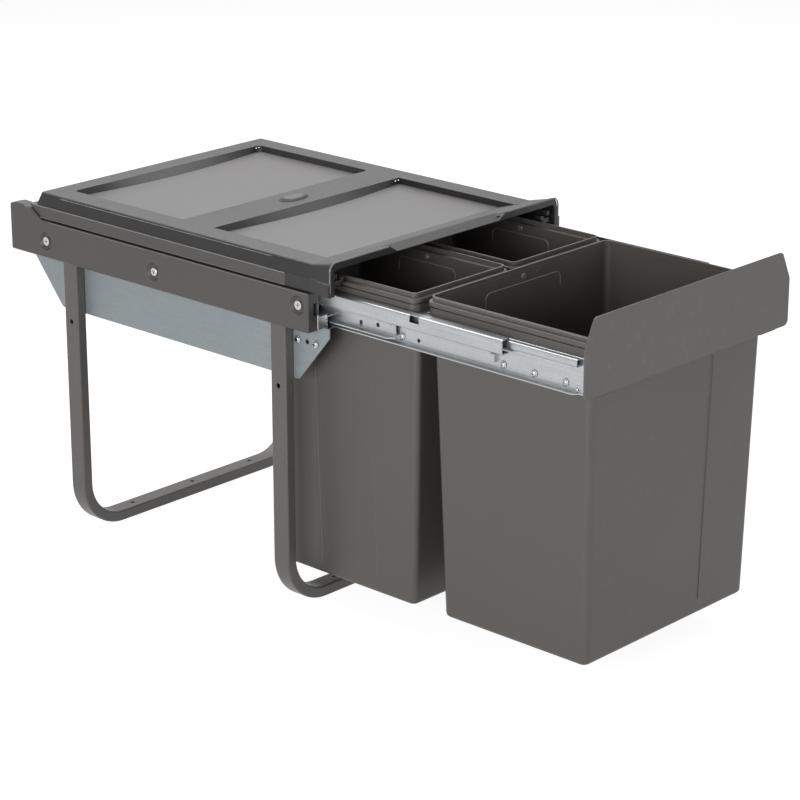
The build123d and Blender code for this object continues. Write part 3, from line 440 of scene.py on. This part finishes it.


# %% [markdown]
# The lid is one moulding, but its two recessed pads were polished in the tool while the rest
# was etched. So one material holds both, and two soft-edged windows in the lid's own plan
# say where the smooth pads are. The pads are also painted far lighter than the frame: that
# is a painted sheen for the light their polish reflects. Steep faces are painted near-black
# as painted shade.

# %% Finish: the lid
rear_pad_middle, rear_pad_half = (0, 0.2485), (0.1345, 0.0815)
front_pad_middle, front_pad_half = (0, 0.0345), (0.1345, 0.0835)
pad_soft_edge = 0.002
grained_dark, grained_light = (0.042, 0.039, 0.038), (0.092, 0.087, 0.086)
# Painted sheen colour of the polished pads.
painted_pad_sheen_colour = (0.186, 0.176, 0.184)
# Near-black painted shade for the lid's steep faces.
painted_slope_shade = (0.016, 0.015, 0.015)
pad_polish = -0.16


def window(tree, centre, half, soft):
    """1 inside a rectangle in plan, fading to 0 over the soft edge outside it."""
    place = object_place(tree)
    moved = tree.nodes.new("ShaderNodeVectorMath")
    moved.operation = "SUBTRACT"
    tree.links.new(place, moved.inputs[0])
    moved.inputs[1].default_value = (*centre, 0)
    folded = tree.nodes.new("ShaderNodeVectorMath")
    folded.operation = "ABSOLUTE"
    tree.links.new(moved.outputs[0], folded.inputs[0])
    inset = tree.nodes.new("ShaderNodeVectorMath")
    inset.operation = "SUBTRACT"
    tree.links.new(folded.outputs[0], inset.inputs[0])
    inset.inputs[1].default_value = (*half, 0)
    parts = tree.nodes.new("ShaderNodeSeparateXYZ")
    tree.links.new(inset.outputs[0], parts.inputs[0])
    outside = math_node(tree, "MAXIMUM", parts.outputs["X"], parts.outputs["Y"])
    return remapped(tree, outside, -soft, soft, 1.0, 0.0)


def lid_finish():
    material, tree, shader = plastic("lid_plastic", grained_dark, grained_light, 0.48, 620.0, 0.6)
    rear_pad = window(tree, rear_pad_middle, rear_pad_half, pad_soft_edge)
    front_pad = window(tree, front_pad_middle, front_pad_half, pad_soft_edge)
    pads = math_node(tree, "MAXIMUM", rear_pad, front_pad)
    geometry = tree.nodes.new("ShaderNodeNewGeometry")
    normal = tree.nodes.new("ShaderNodeSeparateXYZ")
    tree.links.new(geometry.outputs["Normal"], normal.inputs[0])
    flat = remapped(tree, normal.outputs["Z"], 0.955, 0.985, 0.0, 1.0)
    pads = math_node(tree, "MULTIPLY", pads, flat)
    grained = shader.inputs["Base Color"].links[0].from_socket
    # Painted shade: faces that turn away from level, the recess walls and the lid's sides, mix
    # towards near-black.
    steep_shade_mask = remapped(tree, normal.outputs["Z"], 0.9, 0.98, 1.0, 0.0)
    shaded = mixed(tree, steep_shade_mask, grained, painted_slope_shade)
    # Painted sheen: flat faces inside the pad windows take the much lighter pad colour; the lower
    # roughness below is the real polish.
    tree.links.new(mixed(tree, pads, shaded, painted_pad_sheen_colour), shader.inputs["Base Color"])
    gloss = shader.inputs["Roughness"].links[0].from_socket
    satin = math_node(tree, "MULTIPLY", pads, pad_polish)
    tree.links.new(math_node(tree, "ADD", gloss, satin), shader.inputs["Roughness"])
    bump = shader.inputs["Normal"].links[0].from_node
    height = bump.inputs["Height"].links[0].from_socket
    left = math_node(tree, "SUBTRACT", 1.0, pads)
    tree.links.new(math_node(tree, "MULTIPLY", height, left), bump.inputs["Height"])
    return material


lid_plastic = lid_finish()
print("finish", lid_plastic.name)


# %% [markdown]
# The metal parts are zinc in three states: dull galvanised sheet on the side plates, bright
# passivated zinc with rolling lines on the slides, and polished balls. Metal shows mostly
# what it reflects, so its roughness matters more than its colour. The sheet is mottled in
# soft clouds rather than in hard crystals, so its contrast stays low.

# %% Finishes: metals
rolling_depth = 0.0002


def zinc(name, dark, light, roughness, crystal_scale, contrast, roll_strength, metallic=1.0):
    material, tree, shader = new_finish(name, dark, roughness, metallic)
    spangle = placed_group(
        tree, zinc_spangle, Crystal_Scale=crystal_scale, Crystal_Contrast=contrast
    )
    wear = placed_group(tree, handling, Cloud_Scale=11.0, Scuff_Amount=0.4)
    rolled = math_node(tree, "MULTIPLY", spangle.outputs["Rolling"], 0.8)
    tone = math_node(tree, "ADD", spangle.outputs["Tone"], math_node(tree, "ADD", rolled, 0.1))
    scuffs = math_node(tree, "MULTIPLY", wear.outputs["Scuffs"], 0.4)
    worn = math_node(tree, "ADD", tone, scuffs)
    tree.links.new(mixed(tree, worn, dark, light), shader.inputs["Base Color"])
    gloss = remapped(tree, spangle.outputs["Rolling"], 0.2, 0.8, roughness - 0.08, roughness + 0.1)
    cloudy = math_node(tree, "MULTIPLY", wear.outputs["Clouds"], 0.08)
    tree.links.new(math_node(tree, "ADD", gloss, cloudy), shader.inputs["Roughness"])
    relief(tree, shader, spangle.outputs["Rolling"], roll_strength, rolling_depth)
    return material


galvanised = zinc(
    "galvanised_sheet", (0.22, 0.25, 0.265), (0.35, 0.39, 0.405), 0.5, 220.0, 0.16, 0.08, 0.45
)
slide_zinc = zinc(
    "slide_zinc", (0.26, 0.27, 0.28), (0.60, 0.63, 0.64), 0.27, 320.0, 0.12, 0.35, 0.9
)
rivet_zinc = zinc("rivet_zinc", (0.34, 0.34, 0.34), (0.72, 0.72, 0.72), 0.16, 500.0, 0.4, 0.1)
ball_steel = zinc("ball_steel", (0.60, 0.60, 0.61), (0.82, 0.82, 0.83), 0.14, 600.0, 0.2, 0.03)
print("metals made")


# %% [markdown]
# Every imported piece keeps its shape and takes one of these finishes.

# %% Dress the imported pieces
finish_of = {
    "leg_paint": leg_powder,
    "galvanised": galvanised,
    "zinc": slide_zinc,
    "ball_steel": ball_steel,
    "cover_plastic": cover_plastic,
    "lid_plastic": lid_plastic,
    "bin_plastic": bin_plastic,
    "panel_paint": panel_powder,
    "dark_bracket": bracket_black,
    "screw_steel": rivet_zinc,
}
slot_of = {entry["node"]: entry["material_slot"] for entry in frame["record"]["subparts"]}
for name, node in nodes.items():
    node.data.materials.clear()
    node.data.materials.append(finish_of[slot_of[name]])
print("dressed", len(nodes), "pieces")


# %% [markdown]
# The rest of this lesson adds what is too fine for the construction model. Two helpers do
# most of it. The first pulls a row of points into a thin round bead: a flat square is
# collapsed to one point, the point is pulled along the row, and the line is given a round
# section. A bead stands for rolled edges, mould lines and ribs.

# %% Helpers: beads
smooth_angle = math.radians(40)
bead_roundness = 2


def deselect_all():
    bpy.ops.object.select_all(action="DESELECT")


def settled(piece, name, finish, body):
    """Names and dresses a finished piece, moves its place into its mesh and gives it a body."""
    bpy.ops.object.transform_apply(location=True, rotation=True, scale=True)
    bpy.ops.object.shade_smooth_by_angle(angle=smooth_angle)
    piece.name = name
    piece.data.name = name
    piece.data.materials.clear()
    piece.data.materials.append(finish)
    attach(piece, body)
    return piece


def bead(name, points, radius, finish, body, closed=False):
    deselect_all()
    places = [Vector(point) * mm for point in points]
    bpy.ops.mesh.primitive_plane_add(size=mm, location=places[0])
    bpy.ops.object.mode_set(mode="EDIT")
    bpy.ops.mesh.merge(type="CENTER")
    for first, second in zip(places, places[1:]):
        bpy.ops.mesh.extrude_region_move(TRANSFORM_OT_translate={"value": second - first})
    bpy.ops.mesh.select_all(action="SELECT")
    if closed:
        bpy.ops.mesh.remove_doubles(threshold=0.01 * mm)
    bpy.ops.object.mode_set(mode="OBJECT")
    bpy.ops.object.convert(target="CURVE")
    line = bpy.context.object.data
    line.dimensions = "3D"
    line.bevel_depth = radius * mm
    line.bevel_resolution = bead_roundness
    line.use_fill_caps = True
    bpy.ops.object.convert(target="MESH")
    return settled(bpy.context.object, name, finish, body)


print("bead helper made")


# %% [markdown]
# Beads follow corners and rings, so two more helpers give their points. Each point is first
# worked out flat, and a small function then puts it on the wall or edge where it belongs.

# %% Helpers: corners and rings
def corner_arc(centre, radius, start, end, place, steps=6):
    """Points of a round corner, each turned into a place on the piece by the given function."""
    turns = [math.radians(start + (end - start) * step / steps) for step in range(steps + 1)]
    return [
        place(centre[0] + radius * math.cos(turn), centre[1] + radius * math.sin(turn))
        for turn in turns
    ]


def closed_ring(wide, high, steps, place):
    """Points of an oval, the first one repeated at the end, placed by the given function."""
    turns = [math.radians(360 / steps * step) for step in range(steps)]
    points = [place(wide * math.cos(turn), high * math.sin(turn)) for turn in turns]
    return [*points, points[0]]


sides = ((-1, "left"), (1, "right"))
print("corner and ring helpers made")


# %% [markdown]
# Bosses, studs and screw heads are turned parts. A circle is extruded and scaled ring by
# ring, as a lathe would cut it, and closed at both ends. It is drawn upright and then turned
# to face the way it is used.

# %% Helper: turned parts
def turned(name, place, facing, rings, finish, body, corners=24, stretch=1.0):
    deselect_all()
    bpy.ops.mesh.primitive_circle_add(
        vertices=corners, radius=rings[0][1] * mm, location=(0, 0, 0)
    )
    piece = bpy.context.object
    bpy.ops.object.mode_set(mode="EDIT")
    bpy.ops.mesh.select_all(action="SELECT")
    for (low, wide), (high, next_wide) in zip(rings, rings[1:]):
        rise = (0, 0, (high - low) * mm)
        bpy.ops.mesh.extrude_region_move(TRANSFORM_OT_translate={"value": rise})
        scale = next_wide / wide
        bpy.ops.transform.resize(value=(scale, scale, 1))
    bpy.ops.mesh.edge_face_add()
    bpy.ops.mesh.select_all(action="DESELECT")
    bpy.ops.mesh.select_non_manifold()
    bpy.ops.mesh.edge_face_add()
    bpy.ops.mesh.select_all(action="SELECT")
    bpy.ops.mesh.normals_make_consistent(inside=False)
    bpy.ops.object.mode_set(mode="OBJECT")
    piece.scale = (stretch, 1.0, 1.0)
    bpy.ops.object.transform_apply(location=False, rotation=False, scale=True)
    piece.rotation_euler = Vector(facing).to_track_quat("Z", "Y").to_euler()
    piece.location = Vector(place) * mm
    return settled(piece, name, finish, body)


print("turning helper made")


# %% [markdown]
# A cross-head screw is a low domed head on a washer, with two slots cut in it. The slots are
# cut by two thin blocks with a boolean, because a real cross is a clean cut. A dark disc at
# the bottom of the slots is painted shade, which makes the cross readable from far away.

# %% Helpers: cross-head screws
head_rings = ((0.0, 3.9), (0.5, 3.9), (0.7, 3.2), (1.5, 2.9), (1.9, 2.2))
slot_length, slot_width, slot_depth = 4.0, 1.1, 2.4
slot_shade_disc_rings = ((0.2, 2.1), (0.8, 2.0))


def cross_slots(head, place):
    """Cuts two crossed slots into a head that faces along X."""
    upright = (slot_depth, slot_length, slot_width)
    level = (slot_depth, slot_width, slot_length)
    for size in (upright, level):
        deselect_all()
        bpy.ops.mesh.primitive_cube_add(size=mm, location=Vector(place) * mm)
        cutter = bpy.context.object
        cutter.scale = size
        bpy.ops.object.transform_apply(location=False, rotation=False, scale=True)
        cut = head.modifiers.new("slot", "BOOLEAN")
        cut.operation = "DIFFERENCE"
        cut.object = cutter
        deselect_all()
        head.select_set(True)
        bpy.context.view_layer.objects.active = head
        bpy.ops.object.modifier_apply(modifier="slot")
        deselect_all()
        cutter.select_set(True)
        bpy.ops.object.delete()


def cross_screw(name, place, side, body):
    """A head and a disc of painted shade at the floor of its slots, facing outwards along X on the
    given side.
    """
    facing = (side, 0, 0)
    head = turned(name, place, facing, head_rings, rivet_zinc, body)
    head_top = head_rings[-1][0]
    cross_slots(head, (place[0] + side * head_top, place[1], place[2]))
    # The disc at the slot floor is near-black painted shade inside the cross.
    slot_shade_disc_name = name + "_slot_shade_disc"
    floor = turned(slot_shade_disc_name, place, facing, slot_shade_disc_rings, bracket_black, body)
    return [head, floor]


def joined(pieces, name):
    """Several made pieces as one."""
    deselect_all()
    for piece in pieces:
        piece.select_set(True)
    bpy.context.view_layer.objects.active = pieces[0]
    bpy.ops.object.join()
    bpy.context.object.name = name
    bpy.context.object.data.name = name
    return bpy.context.object


print("screw helpers made")


# %% [markdown]
# Every bin has, high on one long wall, a round boss with a hole and below it a raised outline
# with round corners, where the bin is stiffened. On the rear bins that is the wall on the
# far side, and on the front bin the wall behind. The walls lean, so each place on them is
# worked out from its height. The outlines and bosses are drawn in the lighter plastic, a
# painted highlight on them.

# %% Outlines and bosses inside the bins
boss_rings = ((0.0, 3.2), (1.2, 3.0), (1.7, 2.4), (1.7, 1.4), (0.4, 1.2))
stud_rings = ((0.0, 1.6), (0.5, 1.3))
boss_height, stud_across = 350.4, 22.3
outline_top, outline_corner, outline_drop = 344.0, 6.0, 8.0
outline_radius = 0.7
front_outline_half, rear_outline_half = 56.0, 38.0
wall_top = 353.5
front_wall_place, front_wall_lean = -173.4, 0.0316
rear_bin_middle, rear_wall_lean = -58.5, 0.0172
wall_of_bin = {"left_rear_bin": -12.9, "right_rear_bin": 130.5}


def raised_outline(name, half, place):
    centre_height = outline_top - outline_corner
    centre_out = half - outline_corner
    left = corner_arc((-centre_out, centre_height), outline_corner, 180, 90, place)
    right = corner_arc((centre_out, centre_height), outline_corner, 90, 0, place)
    low = centre_height - outline_drop
    points = [place(-half, low), *left, *right, place(half, low)]
    bead(name, points, outline_radius, painted_highlight_plastic, "drawer")


def front_bin_wall(across, height):
    return (across, front_wall_place - (wall_top - height) * front_wall_lean, height)


raised_outline("front_bin_outline", front_outline_half, front_bin_wall)
boss_place = front_bin_wall(0.0, boss_height)
turned("front_bin_boss", boss_place, (0, -1, 0), boss_rings, painted_highlight_plastic, "drawer")
stud_place = front_bin_wall(stud_across, boss_height)
turned("front_bin_stud", stud_place, (0, -1, 0), stud_rings, bin_plastic, "drawer")
for bin_name, wall in wall_of_bin.items():

    def rear_bin_wall(along, height):
        return (wall - (wall_top - height) * rear_wall_lean, rear_bin_middle + along, height)

    raised_outline(bin_name + "_outline", rear_outline_half, rear_bin_wall)
    boss_place = rear_bin_wall(0.0, boss_height)
    turned(bin_name + "_boss", boss_place, (-1, 0, 0), boss_rings, painted_highlight_plastic, "drawer")
print("outlines and bosses made")


# %% [markdown]
# The lip of a moulded bin is rounded, and that round edge is the thin light line that runs
# round every bin in the picture. A closed bead along the top of the lip makes it, in the
# lighter plastic that paints that line as a highlight.

# %% Rounded lips of the bins
lip_wall, lip_middle_height = 1.8, 358.5
lip_corner, lip_radius = 6.1, 0.88
rim_corners = {
    "front_bin": ((-132.8, -368.0), (132.8, -170.3)),
    "left_rear_bin": ((-138.0, -157.0), (-5.4, 40.0)),
    "right_rear_bin": ((5.4, -157.0), (138.0, 40.0)),
}


def rounded_loop(low, high, corner, height):
    """Points of a rectangle with round corners, drawn level at the given height."""

    def level(across, along):
        return (across, along, height)

    (left, front), (right, rear) = low, high
    return [
        *corner_arc((right - corner, rear - corner), corner, 0, 90, level),
        *corner_arc((left + corner, rear - corner), corner, 90, 180, level),
        *corner_arc((left + corner, front + corner), corner, 180, 270, level),
        *corner_arc((right - corner, front + corner), corner, 270, 360, level),
    ]


for bin_name, (low, high) in rim_corners.items():
    middle_low = [value + lip_wall / 2 for value in low]
    middle_high = [value - lip_wall / 2 for value in high]
    loop = rounded_loop(middle_low, middle_high, lip_corner, lip_middle_height)
    lip_name = bin_name + "_lip_edge"
    bead(lip_name, [*loop, loop[0]], lip_radius, painted_highlight_plastic, "drawer", closed=True)
print("lips made")


# %% [markdown]
# A mould that opens in several slides leaves fine lines on the outside of a tub. The clearest
# one here runs down the front of the front bin, right of the middle, and is drawn near-black.
# The lines on the sides of the rear bins are in the lighter plastic, a painted highlight.

# %% Mould lines
mould_radius = 0.22
side_line_high, side_line_low = (132.1, 338.0), (126.8, 46.0)
side_lines = ((-14.5, -20.0), (-92.7, -96.0))
front_line = [(52.3, -366.6, 300.0), (48.1, -361.6, 48.0)]
for side, side_name in sides:
    for number, (high_place, low_place) in enumerate(side_lines):
        line = [
            (side * side_line_high[0], high_place, side_line_high[1]),
            (side * side_line_low[0], low_place, side_line_low[1]),
        ]
        line_name = f"{side_name}_rear_bin_mould_line_{number}"
        bead(line_name, line, mould_radius, painted_highlight_plastic, "drawer")
bead("front_bin_mould_line", front_line, mould_radius, bracket_black, "drawer")
print("mould lines made")


# %% [markdown]
# Between the lid's two recesses stands an oval boss. It is a turned cap that is stretched
# sideways, with a dark bead round its foot. Two small bright zinc pips sit in the far rear
# corner of each recess: they are painted highlight dots.

# %% The oval boss and the painted highlight dots
lid_top = 371.8
oval_middle, oval_half = 142.0, (18.0, 9.5)
oval_rings = ((0.6, 8.8), (2.6, 8.6), (3.2, 7.8), (3.5, 5.6), (3.6, 2.5))
oval_sunk, oval_stretch, oval_edge_radius = 0.6, 17.0 / 8.8, 1.1
highlight_dot_rings = ((0.0, 1.0), (0.7, 0.8), (1.0, 0.4))
highlight_dot_rears, highlight_dot_places = (331.6, 118.0), (129.5, 134.0)
highlight_dot_setback, highlight_dot_drop = 0.8, 2.2


def on_lid(across, along):
    return (across, oval_middle + along, lid_top)


oval = closed_ring(*oval_half, 36, on_lid)
bead("oval_edge", oval, oval_edge_radius, bracket_black, "frame", closed=True)
oval_foot = (0, oval_middle, lid_top - oval_sunk)
turned("oval_cap", oval_foot, (0, 0, 1), oval_rings, leg_powder, "frame", 48, oval_stretch)
# Bright zinc pips in the far corners of the recesses: painted highlight dots.
for row, rear in enumerate(highlight_dot_rears):
    for across in highlight_dot_places:
        highlight_dot_name = f"painted_highlight_dot_{row}_{int(across)}"
        highlight_dot_place = (across, rear - highlight_dot_setback, lid_top - highlight_dot_drop)
        turned(highlight_dot_name, highlight_dot_place, (0, -1, 0), highlight_dot_rings, rivet_zinc, "frame", 12)
print("oval boss and pin marks made")


# %% [markdown]
# The lid ends at the front in a raised lip with round corners and a finger scoop in its
# middle. Beads round off its edge on both sides of the scoop and along the scoop itself. The
# beads beside the scoop are in the lighter plastic, a painted highlight on the lip's edge.

# %% Edge of the lid's front lip
lip_place, lip_side, lip_top, lip_foot = -75.6, 169.6, 379.0, 350.0
lip_round = 8.0
scoop_top, scoop_inner, scoop_outer = 372.4, 75.0, 88.0
lip_edge_radius, scoop_edge_radius = 0.8, 0.6


def lip_point(across, height):
    return (across, lip_place, height)


round_out, round_up = lip_side - lip_round, lip_top - lip_round
near_corner = corner_arc((-round_out, round_up), lip_round, 180, 90, lip_point)
far_corner = corner_arc((round_out, round_up), lip_round, 90, 0, lip_point)
near_foot, far_foot = lip_point(-lip_side, lip_foot), lip_point(lip_side, lip_foot)
near_edge = [near_foot, *near_corner, lip_point(-scoop_outer, lip_top)]
far_edge = [lip_point(scoop_outer, lip_top), *far_corner, far_foot]
scoop_edge = [lip_point(-scoop_inner, scoop_top), lip_point(scoop_inner, scoop_top)]
bead("lip_edge_near", near_edge, lip_edge_radius, painted_highlight_plastic, "frame")
bead("lip_edge_far", far_edge, lip_edge_radius, painted_highlight_plastic, "frame")
bead("lip_edge_scoop", scoop_edge, scoop_edge_radius, lid_plastic, "frame")
print("lip edges made")


# %% [markdown]
# Moulded edges are never sharp, and a rounded edge is what catches the light on dark
# plastic. Fine beads round off the long edges of the covers and of the strips that carry the
# lid, and a ring rounds off the seat of every cover screw. The edge beads use the lighter
# plastic and the rings the lighter leg powder coat: their light colour is a painted highlight.

# %% Rounded edges of the covers
cover_side, cover_top_edge, cover_front, cover_slope_foot = 170.2, 342.9, -45.5, 336.0
strip_side, strip_top, strip_low = 167.8, 357.7, 345.8
strip_front, strip_rear = -12.0, 366.0
screw_seats = ((-32.6, 329.6), (174.5, 321.7), (342.0, 321.7))
seat_face, seat_radius = 170.8, 10.4
cover_edge_radius, strip_edge_radius, seat_edge_radius = 0.6, 0.5, 0.4
for side, side_name in sides:
    cover_line = [
        (side * cover_side, cover_front, cover_top_edge),
        (side * cover_side, cover_slope_foot, cover_top_edge),
    ]
    bead(side_name + "_cover_edge", cover_line, cover_edge_radius, painted_highlight_plastic, "frame")
    for line_name, height in (("top", strip_top), ("low", strip_low)):
        rear = strip_rear - (strip_top - height)
        strip_line = [
            (side * strip_side, strip_front, height),
            (side * strip_side, rear, height),
        ]
        strip_name = f"{side_name}_strip_{line_name}_edge"
        bead(strip_name, strip_line, strip_edge_radius, painted_highlight_plastic, "frame")
    for number, (seat_along, seat_height) in enumerate(screw_seats):

        def on_cover(along, height):
            return (side * seat_face, seat_along + along, seat_height + height)

        seat = closed_ring(seat_radius, seat_radius, 24, on_cover)
        seat_name = f"{side_name}_screw_seat_{number}"
        # The ring's lighter powder-coat colour is a painted highlight round the screw seat.
        bead(seat_name, seat, seat_edge_radius, leg_powder, "frame", closed=True)
print("cover edges made")


# %% [markdown]
# Four cross-head screws stand along each drawer rail. The construction model has plain heads
# there, so each row is joined into one piece that stands for them. The two screws beside the
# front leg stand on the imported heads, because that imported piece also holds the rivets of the
# legs, which stay.

# %% Cross-head screws
web_face, shank_length, shank_radius = 140.2, 1.6, 2.0
rail_screws = ((-269.0, 315.0), (-306.2, 315.0), (-343.4, 315.0), (-142.0, 315.0))
plate_face, plate_head = 154.5, 0.8
plate_screws = ((-16.5, 288.0), (-40.7, 288.0))
corner_rivet, corner_rivet_rings = (-357.0, 311.0), ((0.0, 1.8), (0.6, 1.6), (0.9, 0.9))
shank_rings = ((0.0, shank_radius), (shank_length, shank_radius))
for side, side_name in sides:
    facing = (side, 0, 0)
    row = []
    for number, (along, height) in enumerate(rail_screws):
        screw_name = f"{side_name}_rail_screw_{number}"
        row += cross_screw(screw_name, (side * web_face, along, height), side, "drawer")
        inner = (side * (web_face - shank_length), along, height)
        shank_name = screw_name + "_shank"
        row.append(turned(shank_name, inner, facing, shank_rings, rivet_zinc, "drawer"))
    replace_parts(joined(row, side_name + "_rail_screws"), side_name + "_drawer_rivets")
    for number, (along, height) in enumerate(plate_screws):
        screw_place = (side * (plate_face + plate_head), along, height)
        cross_screw(f"{side_name}_plate_screw_{number}", screw_place, side, "frame")
    rivet_name = side_name + "_rail_corner_rivet"
    rivet_place = (side * web_face, *corner_rivet)
    turned(rivet_name, rivet_place, facing, corner_rivet_rings, rivet_zinc, "drawer", 16)
print("screws made")


# %% [markdown]
# The front panel is a thin plate whose edge is rolled round, and that edge catches the light
# all the way round. One closed bead follows the outline: the round lower corners, the
# shoulders where the sides turn inwards, and the round upper corners. Its lighter plastic is
# a painted highlight along the edge.

# %% Rolled edge of the panel
panel_half, panel_low, panel_high = 155.8, 308.4, 384.2
shoulder_low, shoulder_in, panel_middle = 356.2, 13.0, -377.7
panel_round, top_round, top_round_in = 5.0, 4.0, 4.2
shoulder_half_height, shoulder_step = 1.4, 0.8
edge_in, rolled_radius = 0.8, 0.78


def panel_point(across, height):
    return (across, panel_middle, height)


edge_side = panel_half - edge_in
low_out, low_height = edge_side - panel_round, panel_low + edge_in + panel_round
high_out, high_height = panel_half - shoulder_in - top_round_in, panel_high - edge_in - top_round
shoulder_turn = math.degrees(math.atan2(shoulder_in, panel_high - shoulder_low))
low_right = corner_arc((low_out, low_height), panel_round, -90, 0, panel_point)
low_left = corner_arc((-low_out, low_height), panel_round, 180, 270, panel_point)
high_right = corner_arc((high_out, high_height), top_round, shoulder_turn, 90, panel_point)
high_left = corner_arc((-high_out, high_height), top_round, 90, 180 - shoulder_turn, panel_point)
panel_edge = [
    *low_right,
    panel_point(edge_side, shoulder_low - shoulder_half_height),
    panel_point(edge_side - shoulder_step, shoulder_low + shoulder_half_height),
    *high_right,
    *high_left,
    panel_point(-edge_side + shoulder_step, shoulder_low + shoulder_half_height),
    panel_point(-edge_side, shoulder_low - shoulder_half_height),
    *low_left,
    low_right[0],
]
bead("panel_rolled_edge", panel_edge, rolled_radius, painted_highlight_plastic, "drawer", closed=True)
print("panel edge made")


# %% [markdown]
# The fixed rail ends in a bright tab bent outwards in front of the leg, with a dark lip, and
# dark clips hold the lid in each front corner. All are short pieces of sheet: a square is
# drawn to size, pulled to its thickness, and its edges are bevelled.

# %% Rail tabs and lid clips
tab_across, tab_place, tab_low, tab_size = 160.2, -55.6, 308.5, (12.6, 1.2, 15.0)
tab_lip_place, tab_lip_low, tab_lip_size = -56.6, 322.0, (12.0, 2.6, 2.4)
tab_bevel, tab_lip_bevel, clip_bevel = 0.4, 0.6, 0.8
clip_place, clip_depth, clip_height = -68.0, 9.0, 5.0
clips = ((155.0, 354.0, 9.0), (158.5, 361.0, 5.0), (149.0, 357.0, 4.0))


def folded_strip(name, foot, size, finish, edge):
    deselect_all()
    bpy.ops.mesh.primitive_plane_add(size=mm, location=(0, 0, 0))
    piece = bpy.context.object
    bpy.ops.object.mode_set(mode="EDIT")
    bpy.ops.mesh.select_all(action="SELECT")
    bpy.ops.transform.resize(value=(size[0], size[1], 1))
    bpy.ops.mesh.extrude_region_move(TRANSFORM_OT_translate={"value": (0, 0, size[2] * mm)})
    bpy.ops.mesh.select_all(action="SELECT")
    bpy.ops.mesh.normals_make_consistent(inside=False)
    bpy.ops.mesh.bevel(offset=edge * mm, segments=2, affect="EDGES")
    bpy.ops.object.mode_set(mode="OBJECT")
    piece.location = Vector(foot) * mm
    settled(piece, name, finish, "frame")


for side, side_name in sides:
    tab_foot = (side * tab_across, tab_place, tab_low)
    folded_strip(side_name + "_rail_tab", tab_foot, tab_size, rivet_zinc, tab_bevel)
    tab_lip_foot = (side * tab_across, tab_lip_place, tab_lip_low)
    tab_lip_name = side_name + "_rail_tab_lip"
    folded_strip(tab_lip_name, tab_lip_foot, tab_lip_size, bracket_black, tab_lip_bevel)
    for number, (across, height, wide) in enumerate(clips):
        clip_foot = (side * across, clip_place, height)
        clip_size = (wide, clip_depth, clip_height)
        clip_name = f"{side_name}_lid_clip_{number}"
        folded_strip(clip_name, clip_foot, clip_size, bracket_black, clip_bevel)
print("tabs and clips made")
